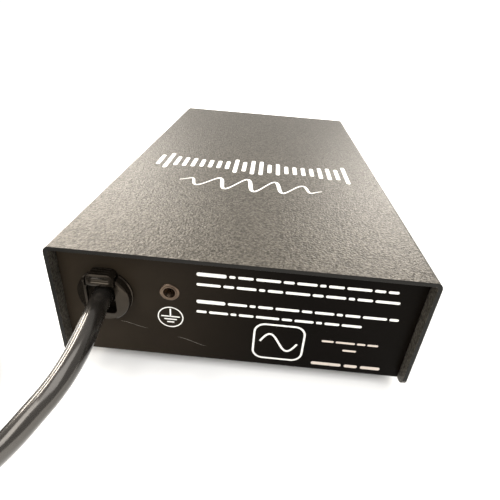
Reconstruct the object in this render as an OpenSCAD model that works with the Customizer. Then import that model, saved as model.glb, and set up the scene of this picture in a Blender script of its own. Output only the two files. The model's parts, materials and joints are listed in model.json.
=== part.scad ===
// Direct injection box: a folded sheet-metal case with a mains lead, a tube
// stage and a balancing transformer inside. The front panel faces -Y, the
// rear panel faces +Y, and the origin is at the bottom centre, on the surface
// that the rubber feet stand on. The mains lead lies on the same surface.

/* [Case] */
// Width of the cover
case_w = 140; // [138:1:150]
// Length of the cover, front to back
case_l = 254; // [250:1:270]
// Height from the chassis underside to the cover's top
case_h = 52; // [50:1:60]
// Thickness of the cover's sheet
cover_t = 1.6; // [1.2:0.1:2]
// Outside radius of the cover's two long bends
cover_bend_r = 2.6; // [2:0.1:4]
// How far each panel sits inside the cover's end
panel_recess = 4.6; // [3:0.1:8]
// Thickness of the chassis sheet
sheet_t = 1.3; // [1:0.1:1.6]
// Height of the chassis side lips that the cover screws to
lip_h = 14; // [12:1:20]

/* [Feet and screws] */
// Height of a rubber foot
foot_h = 5; // [4:0.5:8]
// Diameter of a rubber foot
foot_d = 14; // [12:1:18]
// Distance of each foot's centre from the cover's side
foot_inset_x = 20; // [14:1:30]
// Distance of each foot's centre from the cover's end
foot_inset_y = 24; // [18:1:40]

/* [Mains entry] */
// Outside diameter of the mains lead
cord_d = 7.6; // [7:0.1:8]
// Sideways place of the strain relief
relief_x = 51; // [48:0.5:54]
// Height of the strain relief above the chassis underside
relief_up = 32; // [29:0.5:33]
// Diameter of the strain relief's head
relief_d = 21; // [20:0.1:22]
// How far the strain relief stands out of the rear panel
relief_reach = 5; // [4.5:0.5:7]
// Sideways place of the earth insert
insert_x = 26.6; // [20:0.1:32]
// Height of the earth insert above the chassis underside
insert_up = 33.8; // [30:0.1:38]

/* [Front panel] */
// Height of the control row above the chassis underside
row_up = 26; // [24:0.5:28]
// Sideways place of the input jack
input_x = -56; // [-57:0.5:-54]
// Sideways place of the output jack
output_x = -34; // [-36:0.5:-32]
// Sideways place of the balanced outlet
outlet_x = -7; // [-9:0.5:-5]
// Sideways place of the ground-lift switch
lift_x = 14; // [12:0.5:15]
// Sideways place of the level control
level_x = 35; // [34:0.5:36]
// Sideways place of the power switch and of the pilot lamp over it
power_x = 57; // [56:0.5:59]
// Height of the pilot lamp above the control row
lamp_up = 13; // [12:0.5:14]
// Diameter of the level knob
knob_d = 18; // [17:1:20]
// How far the knob stands out of the front panel
knob_reach = 15; // [14:0.5:18]
// Tilt of a toggle lever each side of upright
toggle_tilt = 12.5; // [10:0.5:14]

/* [Inside] */
// Length of the circuit board, front to back
board_l = 100; // [90:1:104]
// Width of the circuit board
board_w = 92; // [84:1:94]
// Height of the board's standoffs
standoff_h = 8; // [6:1:10]
// Width of the power transformer's core
core_w = 48; // [40:1:50]
// Height of the power transformer's core
core_h = 40; // [34:1:42]
// Stack depth of the power transformer's core
core_stack = 20; // [16:1:24]
// Diameter of the tube's glass
tube_d = 21; // [19:0.5:22]
// Length of the tube's glass
tube_l = 50; // [44:1:54]

/* [Hidden] */
$fn = 48;
eps = 0.01;
// The knob and the strain relief stand out unequally, so the case sits off
// centre by half the difference and the whole box stays centred on the origin
case_y = (knob_reach - relief_reach) / 2;
base_z = foot_h;
slide_gap = 0.4;
chassis_w = case_w - 2 * cover_t - 2 * slide_gap;
chassis_l = case_l - 2 * panel_recess;
chassis_h = case_h - cover_t - slide_gap;
bend_r = 1.8;
flange_l = 9;
floor_z = base_z + sheet_t;
front_y = case_y - chassis_l / 2;
rear_y = case_y + chassis_l / 2;
front_in_y = front_y + sheet_t;
row_z = base_z + row_up;
relief_z = base_z + relief_up;
insert_z = base_z + insert_up;
// Fasteners
fit_gap = 0.1;
cover_screw_r = 1.7;
cover_screw_up = 8;
cover_screw_y = 82;
small_screw_r = 1.45;
head_r = 2.9;
head_h = 1.8;
// Mounting-hole radii in the panels
barrel_r = 7.9;
insert_r = 3.1;
relief_pocket_w = 10.6;
jack_thread_r = 4.75;
outlet_shell_r = 10.9;
outlet_screw_dx = 9.5;
outlet_screw_dz = 12;
toggle_thread_r = 3.1;
pot_thread_r = 3.5;
lamp_barrel_r = 3.9;
// Board and the places of what it carries
board_x = -18;
board_y = case_y - 43;
board_t = 1.6;
board_z = floor_z + standoff_h;
board_top = board_z + board_t;
board_hole_dx = board_w / 2 - 5;
board_hole_dy = board_l / 2 - 5;
// Power transformer
core_x = 30;
core_y = case_y + 75;
leg_w = core_w / 3;
strap_t = 1.2;
strap_d = 16;
strap_foot = 9;
strap_hole_dx = core_w / 2 + strap_t + 5;
// Tube and its bracket
tube_x = -32;
tube_plate_y = case_y + 26;
tube_z = floor_z + 22;
tube_screw_dx = 14;
tube_screw_y = tube_plate_y - 14;
// Earth tag beside the strain relief
tag_x = 40;
tag_y = case_y + 112;
// Toggle levers turn about a point inside the bushing
toggle_pivot_y = front_y - 4.2;
toggle_mouth_y = front_y - 7;
toggle_l = 8.8;
// Mains lead: the centre line from inside the gland to the coil, by hand
cord_r = cord_d / 2;
cord_route = [[51, 112, 37], [51, 120, 37], [51, 128, 37], [50.6, 136, 36.8], [50, 144, 36],
    [49.7, 152, 34.6], [50.2, 160, 32.6], [52, 168, 30], [56, 175, 26], [61, 181, 21],
    [68, 186, 15], [76, 190, 10], [85, 193, 6], [95, 196, 4], [104, 199.5, 3.8], [112, 202.5, 3.8]];
coil_x = 145;
coil_y = 163;
coil_mid_r = 45.6;
coil_h = 3 * cord_d;
coil_in_r = coil_mid_r - cord_d;
coil_out_r = coil_mid_r + cord_d;
// The lead leaves the coil's outer layer on its tangent, at the middle height
tail_angle = -8;
tail_l = 34;
tail_z = cord_r + cord_d;
outer_turn_r = coil_mid_r + cord_r;
tail_dir = [sin(tail_angle), -cos(tail_angle), 0];
tail_start = [coil_x + outer_turn_r * cos(tail_angle), coil_y + outer_turn_r * sin(tail_angle), tail_z];
tail_in = 6;
relief_l = 26;
plug_l = 30;
plug_w = 27;
plug_h = 22.6;
blade_l = 17;

// ---- Shared shapes ----

// A rectangle with round corners, centred on the origin
module round_rect(w, h, r) {
    square([w - 2 * r, h], center = true);
    square([w, h - 2 * r], center = true);
    for (sx = [-1, 1], sz = [-1, 1]) {
        translate([sx * (w / 2 - r), sz * (h / 2 - r)]) circle(r);
    }
}

// A bent sheet seen end on: a closed band with round corners
module bent_band(w, h, t, r) {
    difference() {
        round_rect(w, h, r);
        round_rect(w - 2 * t, h - 2 * t, max(r - t, 0.3));
    }
}

// Turn children so that local X, Y, Z run along world Y, Z, X
module along_x() {
    rotate([90, 0, 90]) children();
}

// Turn children so that local X, Y, Z run along world X, Z, -Y: out of the front
module out_front() {
    rotate([90, 0, 0]) children();
}

// Turn children so that local Z runs along +Y: out of the rear
module out_rear() {
    rotate([-90, 0, 0]) children();
}

// Pan-head screw with a cross recess: head on +Z, shank down -Z
module pan_screw(r, l, hr = head_r, hh = head_h) {
    difference() {
        union() {
            translate([0, 0, -l]) cylinder(r = r, h = l + eps);
            cylinder(r1 = hr, r2 = hr * 0.92, h = hh * 0.6);
            translate([0, 0, hh * 0.6 - eps]) cylinder(r1 = hr * 0.92, r2 = hr * 0.6, h = hh * 0.4);
        }
        for (a = [0, 90]) {
            rotate(a) translate([-hr * 0.5, -0.35, hh * 0.45]) cube([hr, 0.7, hh]);
        }
    }
}

// Hexagon nut standing on Z = 0
module hex_nut(flats, bore_r, h) {
    difference() {
        intersection() {
            cylinder(r = flats / sqrt(3), h = h, $fn = 6);
            translate([0, 0, -eps]) cylinder(r1 = flats * 0.62, r2 = flats * 0.5, h = h + 2 * eps);
        }
        translate([0, 0, -1]) cylinder(r = bore_r, h = h + 2);
    }
}

// A wire-ended part lying on the board along local X, standing on Z = 0
module axial_part(body_r, body_l, pitch) {
    lead_r = 0.35;
    lift = body_r + 0.3;
    translate([0, 0, lift]) {
        rotate([0, 90, 0]) cylinder(r = body_r, h = body_l, center = true);
        rotate([0, 90, 0]) cylinder(r = lead_r, h = pitch, center = true, $fn = 16);
    }
    for (s = [-1, 1]) {
        translate([s * pitch / 2, 0, 0]) cylinder(r = lead_r, h = lift + lead_r, $fn = 16);
    }
}

function unit(v) = v / norm(v);
function tangent(path, i) = unit(path[min(i + 1, len(path) - 1)] - path[max(i - 1, 0)]);
// One ring of a swept tube, square to the path
function ring(path, i, r, sides, ref) =
    let (t = tangent(path, i), u = unit(cross(t, ref)), v = cross(t, u))
    [for (k = [0:sides - 1]) path[i] + r * (cos(360 * k / sides) * u + sin(360 * k / sides) * v)];
function ring_quads(rings, sides) =
    [for (i = [0:rings - 2], k = [0:sides - 1])
        [i * sides + k, (i + 1) * sides + k,
            (i + 1) * sides + (k + 1) % sides, i * sides + (k + 1) % sides]];

// A round tube swept along a path of points
module swept_tube(path, r, sides = 8, ref = [0, 0, 1]) {
    n = len(path);
    points = [for (i = [0:n - 1]) each ring(path, i, r, sides, ref)];
    caps = [[for (k = [0:sides - 1]) k], [for (k = [1:sides]) n * sides - k]];
    polyhedron(points = points, faces = concat(ring_quads(n, sides), caps), convexity = 6);
}

// ---- Case ----

// Bottom, front and rear panels with their top flanges, bent from one strip
module end_folds() {
    translate([-chassis_w / 2, 0, 0]) along_x() linear_extrude(chassis_w) difference() {
        translate([case_y, base_z + chassis_h / 2]) bent_band(chassis_l, chassis_h, sheet_t, bend_r);
        translate([case_y - chassis_l / 2 + flange_l, floor_z + bend_r]) {
            square([chassis_l - 2 * flange_l, chassis_h]);
        }
    }
}

// Bottom with the two side lips, cut short of the panels
module side_folds() {
    strip_l = chassis_l - 8;
    translate([0, case_y + strip_l / 2, 0]) out_front() linear_extrude(strip_l) difference() {
        translate([0, base_z + chassis_h / 2]) bent_band(chassis_w, chassis_h, sheet_t, bend_r);
        translate([-chassis_w, base_z + lip_h]) square([2 * chassis_w, chassis_h]);
    }
}

module rear_holes() {
    translate([relief_x, rear_y + 1, relief_z]) out_front() cylinder(r = barrel_r + fit_gap, h = 4);
    translate([insert_x, rear_y + 1, insert_z]) out_front() cylinder(r = insert_r + fit_gap, h = 4);
}

module front_hole(x, r, up = 0) {
    translate([x, front_y + 3, row_z + up]) out_front() cylinder(r = r, h = 4);
}

module front_holes() {
    front_hole(input_x, jack_thread_r + fit_gap);
    front_hole(output_x, jack_thread_r + fit_gap);
    front_hole(outlet_x, outlet_shell_r + fit_gap);
    for (s = [-1, 1]) {
        front_hole(outlet_x + s * outlet_screw_dx, small_screw_r + fit_gap, -s * outlet_screw_dz);
    }
    front_hole(lift_x, toggle_thread_r + fit_gap);
    front_hole(power_x, toggle_thread_r + fit_gap);
    front_hole(level_x, pot_thread_r + fit_gap);
    front_hole(power_x, lamp_barrel_r + fit_gap, lamp_up);
}

module floor_hole(x, y) {
    translate([x, y, base_z - 1]) cylinder(r = small_screw_r + fit_gap, h = sheet_t + 2);
}

module floor_holes() {
    for (i = [0:3]) {
        floor_hole(foot_place(i)[0], foot_place(i)[1]);
    }
    for (sx = [-1, 1]) {
        floor_hole(core_x + sx * strap_hole_dx, core_y);
        floor_hole(tube_x + sx * tube_screw_dx, tube_screw_y);
        for (sy = [-1, 1]) {
            floor_hole(board_x + sx * board_hole_dx, board_y + sy * board_hole_dy);
        }
    }
    floor_hole(tag_x, tag_y);
}

module lip_holes(r) {
    for (sy = [-1, 1]) {
        translate([-case_w, case_y + sy * cover_screw_y, base_z + cover_screw_up]) {
            rotate([0, 90, 0]) cylinder(r = r, h = 2 * case_w);
        }
    }
}

module chassis() color("#231f1c") difference() {
    union() {
        end_folds();
        side_folds();
    }
    rear_holes();
    front_holes();
    floor_holes();
    lip_holes(cover_screw_r + fit_gap);
}

// What a round corner leaves of a square one, cut through both side walls
module wall_corner_cut(sy) {
    r = 4;
    corner_y = case_y + sy * (case_l / 2 - r);
    corner_z = base_z + slide_gap + r;
    translate([-case_w, corner_y, corner_z]) along_x() linear_extrude(2 * case_w) difference() {
        translate([sy > 0 ? 0 : -r - 1, -r - 1]) square(r + 1);
        circle(r);
    }
}

module cover() color("#3a3733") difference() {
    translate([0, case_y + case_l / 2, 0]) out_front() linear_extrude(case_l) difference() {
        translate([0, base_z]) bent_band(case_w, 2 * case_h, cover_t, cover_bend_r);
        translate([-case_w, base_z - 2 * case_h]) square([2 * case_w, 2 * case_h + slide_gap]);
    }
    lip_holes(cover_screw_r + 2 * fit_gap);
    wall_corner_cut(1);
    wall_corner_cut(-1);
}

module cover_screws() color("#1a1a1a") {
    for (sx = [-1, 1], sy = [-1, 1]) {
        translate([sx * case_w / 2, case_y + sy * cover_screw_y, base_z + cover_screw_up]) {
            rotate([0, sx * 90, 0]) pan_screw(cover_screw_r, 6, 3.4, 2.2);
        }
    }
}

// ---- Feet ----

function foot_place(i) = [(i % 2 == 0 ? 1 : -1) * (case_w / 2 - foot_inset_x),
    case_y + (i < 2 ? 1 : -1) * (case_l / 2 - foot_inset_y)];

module rubber_foot(i) color("#151515") translate(foot_place(i)) difference() {
    cylinder(d1 = foot_d - 2, d2 = foot_d, h = base_z);
    translate([0, 0, -1]) cylinder(r = 3.4, h = 3.6);
    cylinder(r = small_screw_r + fit_gap, h = base_z + 1);
}

module foot_screws() color("#8c8c8c") {
    for (i = [0:3]) {
        translate(foot_place(i)) {
            translate([0, 0, 2.6]) mirror([0, 0, 1]) pan_screw(small_screw_r, 6.4);
            translate([0, 0, floor_z]) hex_nut(5.5, small_screw_r + 0.05, 2.2);
        }
    }
}

// ---- Mains entry ----

// Thick round head with a pocket, and a barrel that is split for the wedge
module strain_relief_body() color("#0e0e0e") translate([relief_x, rear_y, relief_z]) out_rear() {
    rim = 0.5;
    difference() {
        union() {
            translate([0, 0, 0.02]) cylinder(d = relief_d, h = relief_reach - rim);
            translate([0, 0, relief_reach - rim]) cylinder(d1 = relief_d, d2 = relief_d - 2 * rim, h = rim);
            translate([0, 0, -14]) cylinder(r = barrel_r, h = 15);
        }
        // Local Y points down here: the pocket, the lead's way, then the wedge's slots
        translate([0, -0.3, 1.2]) linear_extrude(20) round_rect(relief_pocket_w, 11.8, 1.6);
        translate([0, 0, -15]) cylinder(r = cord_r + 0.4, h = 22);
        translate([-relief_pocket_w / 2 - 0.5, -12, -1]) cube([relief_pocket_w + 1, 5.9, 12]);
        translate([-3.7, -9, -15]) cube([7.4, 7, 20]);
    }
}

// Wedge: a head across the top of the pocket, and a shank down the barrel's slot
module strain_relief_clamp() color("#121212") translate([relief_x, rear_y, relief_z]) out_rear() {
    head_w = relief_pocket_w - 0.4;
    translate([-head_w / 2, -11.1, 0.1]) cube([head_w, 4.8, relief_reach - 0.1]);
    translate([-3.4, -7.1, -12]) cube([6.8, 2.6, 13]);
}

module earth_insert() color("#b8a48c") translate([insert_x, rear_y, insert_z]) out_rear() difference() {
    bore_r = 2.1;
    union() {
        translate([0, 0, 0.02]) cylinder(r1 = 3.8, r2 = 3.5, h = 0.6);
        translate([0, 0, -9]) cylinder(r = insert_r, h = 9.2);
    }
    translate([0, 0, -10]) cylinder(r = bore_r, h = 12);
    translate([0, 0, 0.1]) cylinder(r1 = bore_r, r2 = bore_r + 0.55, h = 0.55);
}

module earth_tag() color("#c9a24a") translate([tag_x, tag_y, floor_z]) {
    difference() {
        union() {
            cylinder(r = 3.4, h = 0.7);
            translate([0, -1.6, 0]) cube([11, 3.2, 0.7]);
        }
        translate([0, 0, -1]) cylinder(r = small_screw_r + fit_gap, h = 3);
    }
    translate([9, 0, 2]) rotate([0, 90, 0]) difference() {
        cylinder(r = 1.7, h = 5);
        translate([0, 0, 1]) cylinder(r = 1.25, h = 5);
    }
}

module earth_screw() color("#9a9a9a") translate([tag_x, tag_y, 0]) {
    translate([0, 0, base_z]) mirror([0, 0, 1]) pan_screw(small_screw_r, 5.4);
    translate([0, 0, floor_z + 0.7]) hex_nut(5.5, small_screw_r + 0.05, 2.2);
}

// Green and yellow wire from the lead's inner end down to the tag
module earth_wire() color("#4e9a3c") {
    swept_tube([[51, 111.5, 34.8], [51, 108.8, 34.8], [52, 106.2, 30], [53.5, 106, 24], [55.5, 108, 17],
        [58, 113, 11.5], [58, 116.5, 8.9], [55, tag_y, 8.4], [50.2, tag_y, floor_z + 2]],
        1, 8, [1, 0, 0.2]);
}

// Live and neutral from the lead's inner end to the transformer's winding
module mains_wires() color("#6b4a2f") {
    swept_tube([[49.2, 111.5, 38], [49.2, 108.5, 38], [46, 105, 36], [40, 103, 32.5], [34.5, 101.8, 29.5],
        [32, 100.6, 28.5], [32, 98.2, 28.5]], 1, 8);
    swept_tube([[52.8, 111.5, 38.6], [52.8, 108.5, 38.8], [49, 105.4, 41], [41, 103.6, 41], [32, 102.4, 38],
        [26, 100.8, 34.5], [26, 98.2, 34.5]], 1, 8);
}

// ---- Mains lead ----

// The stretch from the gland to the coil, and the short tail from the coil to the plug
module mains_cord() color("#101010") {
    swept_tube(cord_route, cord_r, 10);
    at_plug(-tail_l) cylinder(r = cord_r, h = tail_l + tail_in);
}

module cord_coil() color("#141414") translate([coil_x, coil_y, 0]) rotate_extrude($fn = 96) {
    translate([coil_mid_r, coil_h / 2]) round_rect(2 * cord_d, coil_h, cord_r * 0.9);
}

module cord_tie() color("#303030") translate([coil_x, coil_y, 0]) rotate(-70) {
    wall = 0.9;
    translate([coil_mid_r, 4, coil_h / 2 + wall / 2]) out_front() linear_extrude(8) difference() {
        round_rect(2 * cord_d + 2 * wall, coil_h + wall, cord_r);
        translate([0, -wall / 2]) round_rect(2 * cord_d - 0.1, coil_h - 0.1, cord_r * 0.85);
    }
}

// Place children along the plug's own axis: local Z runs away from the coil
module at_plug(along) {
    place = tail_start + (tail_l + along) * tail_dir;
    translate(place) rotate([90, 0, tail_angle]) children();
}

module plug_body() color("#161616") {
    at_plug(0) difference() {
        cylinder(r1 = 5.6, r2 = 7.4, h = relief_l + 0.5);
        translate([0, 0, -1]) cylinder(r = cord_r, h = tail_in + 1);
        for (i = [0:3]) {
            translate([0, 0, 5 + 5 * i]) rotate_extrude() translate([7.2 + 0.35 * i, 0]) circle(1.1, $fn = 24);
        }
    }
    at_plug(relief_l) difference() {
        linear_extrude(plug_l) round_rect(plug_w, plug_h, 8);
        for (s = [-1, 1], i = [0:4]) {
            translate([s * (plug_w / 2 + 0.6), 0, 6 + 3.6 * i]) rotate([90, 0, 0]) {
                cylinder(r = 1.2, h = plug_h * 0.5, center = true, $fn = 24);
            }
        }
    }
}

module plug_blades() color("#c9b37a") {
    for (s = [-1, 1]) {
        at_plug(relief_l + plug_l) translate([s * 6.35, 3, blade_l / 2]) difference() {
            cube([1.5, 6.3, blade_l], center = true);
            translate([0, 0, blade_l / 2 - 4]) rotate([0, 90, 0]) cylinder(r = 1.6, h = 4, center = true);
        }
    }
}

module plug_earth_pin() color("#c9b37a") at_plug(relief_l + plug_l) translate([0, -6.5, 0]) {
    cylinder(r = 2.4, h = blade_l - 0.5);
    translate([0, 0, blade_l - 0.5 - eps]) cylinder(r1 = 2.4, r2 = 1.4, h = 2);
}

// ---- Power transformer ----

module transformer_core() color("#54504c") translate([core_x, core_y, floor_z]) difference() {
    translate([-core_w / 2, -core_stack / 2, 0]) cube([core_w, core_stack, core_h]);
    for (s = [-1, 1]) {
        translate([s * leg_w * 0.75 - leg_w / 4, -core_stack, leg_w / 2]) {
            cube([leg_w / 2, 2 * core_stack, core_h - leg_w]);
        }
    }
}

module transformer_winding() color("#b5792e") translate([core_x, core_y, floor_z + core_h / 2]) {
    tall = core_h - leg_w - 0.6;
    wide = 2 * leg_w - 0.6;
    difference() {
        linear_extrude(tall, center = true) round_rect(wide, core_stack + leg_w - 0.6, 2.5);
        cube([leg_w + 0.2, core_stack + 0.2, tall + 2], center = true);
    }
}

module transformer_strap() color("#a9a9a9") translate([core_x, core_y + strap_d / 2, floor_z]) {
    out_w = core_w + 2 * strap_t + 0.2;
    top = core_h + 0.1 + strap_t;
    difference() {
        out_front() linear_extrude(strap_d) {
            difference() {
                translate([0, top / 2 - 5]) round_rect(out_w, top + 10, 1.4);
                translate([0, top / 2 - 5]) square([core_w + 0.2, top + 10 - 2 * strap_t], center = true);
                translate([-out_w, -12]) square([2 * out_w, 12]);
            }
            for (s = [-1, 1]) {
                translate([s * (out_w / 2 + strap_foot / 2 - 0.3), strap_t / 2]) {
                    square([strap_foot, strap_t], center = true);
                }
            }
        }
        for (s = [-1, 1]) {
            translate([s * strap_hole_dx, -strap_d / 2, -1]) cylinder(r = small_screw_r + fit_gap, h = 4);
        }
    }
}

module transformer_screws() color("#9a9a9a") {
    for (s = [-1, 1]) {
        translate([core_x + s * strap_hole_dx, core_y, 0]) {
            translate([0, 0, base_z]) mirror([0, 0, 1]) pan_screw(small_screw_r, 6.2);
            translate([0, 0, floor_z + strap_t]) hex_nut(5.5, small_screw_r + 0.05, 2.2);
        }
    }
}

// ---- Circuit board ----

// Repeat children at the board's four fixing holes
module at_board_holes() {
    for (sx = [-1, 1], sy = [-1, 1]) {
        translate([board_x + sx * board_hole_dx, board_y + sy * board_hole_dy, 0]) children();
    }
}

module circuit_board() color("#2f6b3a") difference() {
    translate([board_x, board_y, board_z]) linear_extrude(board_t) round_rect(board_w, board_l, 2);
    at_board_holes() translate([0, 0, board_z - 1]) cylinder(r = small_screw_r + fit_gap, h = board_t + 2);
}

module board_standoffs() color("#c8b273") at_board_holes() {
    translate([0, 0, floor_z]) hex_nut(5.5, small_screw_r + 0.05, standoff_h);
}

module board_screws() color("#9a9a9a") at_board_holes() {
    translate([0, 0, base_z]) mirror([0, 0, 1]) pan_screw(small_screw_r, 4.6);
    translate([0, 0, board_top]) pan_screw(small_screw_r, 4.4);
}

// Place children on the board's upper face, from the board's centre
module on_board(dx, dy, turn = 0) {
    translate([board_x + dx, board_y + dy, board_top]) rotate(turn) children();
}

module filter_capacitors() color("#2a3a66") {
    can_r = 8;
    can_h = 30;
    for (i = [0:2]) {
        on_board(34, -28 + 20 * i) difference() {
            union() {
                cylinder(r = can_r, h = can_h - 0.8);
                translate([0, 0, can_h - 0.8 - eps]) cylinder(r1 = can_r, r2 = can_r - 0.8, h = 0.8);
            }
            translate([0, 0, 2.6]) rotate_extrude() translate([can_r + 0.7, 0]) circle(1.3, $fn = 24);
            for (a = [0, 90]) {
                rotate(a + 45) translate([-can_r * 0.6, -0.2, can_h - 0.4]) cube([can_r * 1.2, 0.4, 1]);
            }
        }
    }
}

module film_capacitors() color("#a3302a") {
    for (i = [0:2]) {
        on_board(10, -30 + 16 * i) linear_extrude(14) round_rect(18, 8, 1.2);
    }
}

module resistors() color("#c7a06a") {
    for (i = [0:4]) {
        on_board(-10, -34 + 8 * i) axial_part(1.7, 9, 14);
        on_board(-32, 8 + 7 * i) axial_part(1.7, 9, 14);
    }
}

module rectifier_diodes() color("#1c1c1c") {
    for (i = [0:3]) {
        on_board(8, 20 + 6 * i) axial_part(1.4, 5.2, 11);
    }
}

module fuse() color("#d8dde0") on_board(-10, 36) translate([0, 0, 6]) rotate([0, 90, 0]) {
    cylinder(r = 2.4, h = 20, center = true);
    for (s = [-1, 1]) {
        translate([0, 0, s * 7.5]) cylinder(r = 2.6, h = 5, center = true);
    }
}

module fuse_clips() color("#c6c6c2") {
    for (s = [-1, 1]) {
        on_board(-10 + s * 7.5, 36) difference() {
            translate([-2, -4, 0]) cube([4, 8, 8.4]);
            translate([-3, -3.2, 0.8]) cube([6, 6.4, 9]);
        }
        on_board(-10 + s * 7.5, 36) difference() {
            translate([-2, -3.3, 0.7]) cube([4, 6.6, 6.4]);
            translate([-3, 0, 6]) rotate([0, 90, 0]) cylinder(r = 2.65, h = 6);
        }
    }
}

// Balancing transformer in a screening can, at the board's front left
module output_transformer() color("#8f9396") on_board(-32, -28) {
    linear_extrude(24) round_rect(24, 26, 3);
    translate([0, 0, 24 - eps]) linear_extrude(1) round_rect(22, 24, 2.4);
    linear_extrude(1) round_rect(26, 28, 3);
}

// ---- Tube ----

module tube_bracket() color("#a8a8a8") {
    plate_t = 1.2;
    difference() {
        translate([tube_x - 19, 0, 0]) along_x() linear_extrude(38) {
            translate([tube_plate_y - plate_t, floor_z]) square([plate_t, 40]);
            translate([tube_plate_y - 22, floor_z]) square([22, plate_t]);
        }
        translate([tube_x, tube_plate_y + 3, tube_z]) out_front() cylinder(r = 10.1, h = 6);
        for (s = [-1, 1]) {
            translate([tube_x + s * tube_screw_dx, tube_screw_y, floor_z - 1]) {
                cylinder(r = small_screw_r + fit_gap, h = 4);
            }
        }
    }
}

module tube_bracket_screws() color("#9a9a9a") {
    for (s = [-1, 1]) {
        translate([tube_x + s * tube_screw_dx, tube_screw_y, 0]) {
            translate([0, 0, base_z]) mirror([0, 0, 1]) pan_screw(small_screw_r, 6);
            translate([0, 0, floor_z + 1.2]) hex_nut(5.5, small_screw_r + 0.05, 2.2);
        }
    }
}

// Places of the tube's nine pins on their circle
function tube_pin(i) = 5.95 * [cos(36 * i + 18), sin(36 * i + 18)];

module tube_socket() color("#e4dfd2") translate([tube_x, tube_plate_y, tube_z]) out_rear() difference() {
    union() {
        translate([0, 0, 0.02]) cylinder(r = 12, h = 1.6);
        translate([0, 0, -9]) cylinder(r = 10, h = 10);
    }
    translate([0, 0, -10]) cylinder(r = 2.2, h = 13);
    for (i = [0:8]) {
        translate(tube_pin(i)) translate([0, 0, -7]) cylinder(r = 0.65, h = 12, $fn = 16);
    }
}

module tube_envelope() color("#cfd6d8") translate([tube_x, tube_plate_y + 2.2, tube_z]) out_rear() {
    glass_r = tube_d / 2;
    wall = 0.9;
    shoulder = tube_l - glass_r;
    rotate_extrude() difference() {
        union() {
            square([glass_r, shoulder]);
            intersection() {
                translate([0, shoulder]) circle(glass_r);
                square([glass_r, tube_l]);
            }
            translate([0, tube_l - 1]) square([1.8, 4.6]);
        }
        translate([-1, -1]) square([glass_r - wall + 1, shoulder + 1]);
        intersection() {
            translate([0, shoulder]) circle(glass_r - wall);
            translate([0, shoulder - 1]) square([glass_r, glass_r]);
        }
    }
}

// Glass button with its pins, spacers and two anodes, all on one mount
module tube_electrodes() color("#6d6d70") translate([tube_x, tube_plate_y + 2.2, tube_z]) out_rear() {
    button_r = tube_d / 2 - 1.1;
    cylinder(r = button_r, h = 3);
    for (i = [0:8]) {
        translate(tube_pin(i)) translate([0, 0, -6.8]) cylinder(r = 0.5, h = 8, $fn = 16);
    }
    for (z = [9, 32]) {
        translate([0, 0, z]) cylinder(r = button_r - 0.6, h = 0.6);
    }
    for (s = [-1, 1]) {
        translate([s * 4.3, 0, 9]) linear_extrude(23.2) round_rect(7.4, 9, 1.6);
        translate([s * 7, 0, 2]) cylinder(r = 0.5, h = 8, $fn = 16);
    }
}

// ---- Jacks and balanced outlet ----

// Enclosed 6.35 mm jack: local Z runs out of the front, 0 at the panel's inner face
module jack() difference() {
    bore_r = 3.25;
    union() {
        translate([0, 0, -12.02]) linear_extrude(24, center = true) round_rect(17, 20, 1.5);
        translate([0, 0, -1]) cylinder(r = jack_thread_r, h = sheet_t + 6);
        translate([0, 5, -24.5]) cube([3, 1, 6], center = true);
        translate([0, -5, -24.5]) cube([3, 1, 6], center = true);
    }
    translate([0, 0, -22]) cylinder(r = bore_r, h = 30);
    translate([0, 0, sheet_t + 4.5]) cylinder(r1 = bore_r, r2 = bore_r + 0.6, h = 0.6);
}

// Place children on the front panel's inner face: local Z runs out of the front
module at_front(x, up = 0) {
    translate([x, front_in_y, row_z + up]) out_front() children();
}

module jack_nut() translate([0, 0, sheet_t + 0.02]) {
    difference() {
        cylinder(r = 7.2, h = 0.7);
        translate([0, 0, -1]) cylinder(r = jack_thread_r + 0.05, h = 3);
    }
    translate([0, 0, 0.7 - eps]) hex_nut(12.7, jack_thread_r + 0.05, 2.4);
}

module input_jack() color("#202020") at_front(input_x) jack();
module output_jack() color("#202020") at_front(output_x) jack();
module input_jack_nut() color("#c9c9c9") at_front(input_x) jack_nut();
module output_jack_nut() color("#c9c9c9") at_front(output_x) jack_nut();

// Cup of the balanced outlet with its flange on the panel's face
module outlet_shell() color("#2a2a2a") at_front(outlet_x) difference() {
    cup_r = 9.4;
    flange_t = 2.2;
    union() {
        translate([0, 0, sheet_t + 0.02]) linear_extrude(flange_t) round_rect(26, 31, 2.5);
        translate([0, 0, -18]) cylinder(r = outlet_shell_r, h = 18 + sheet_t + 1);
    }
    translate([0, 0, -15]) cylinder(r = cup_r, h = 30);
    translate([0, 0, -20]) cylinder(r = 7, h = 10);
    for (s = [-1, 1]) {
        translate([s * outlet_screw_dx, -s * outlet_screw_dz, -1]) cylinder(r = small_screw_r + fit_gap, h = 8);
    }
    // Latch notch at the cup's top edge
    translate([-2.2, cup_r - 1, sheet_t - 3]) cube([4.4, 2.2, 8]);
}

module outlet_insert() color("#111111") at_front(outlet_x) difference() {
    translate([0, 0, -14.98]) cylinder(r = 9.3, h = 2.6);
    for (i = [0:2]) {
        translate(outlet_pin(i)) translate([0, 0, -20]) cylinder(r = 1.25, h = 12);
    }
}

function outlet_pin(i) = 4.8 * [[0.82, 0.57], [-0.82, 0.57], [0, -1]][i];

module outlet_pins() color("#d4c08a") at_front(outlet_x) {
    for (i = [0:2]) {
        translate(outlet_pin(i)) {
            translate([0, 0, -22]) cylinder(r = 1.2, h = 21);
            translate([0, 0, -1 - eps]) cylinder(r1 = 1.2, r2 = 0.6, h = 0.8);
        }
    }
}

module outlet_screws() color("#1a1a1a") at_front(outlet_x) {
    for (s = [-1, 1]) {
        translate([s * outlet_screw_dx, -s * outlet_screw_dz, 0]) {
            translate([0, 0, sheet_t + 2.24]) pan_screw(small_screw_r, 8, 2.7, 1.6);
            translate([0, 0, -2.2]) hex_nut(5.5, small_screw_r + 0.05, 2.18);
        }
    }
}

// ---- Level control ----

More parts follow.
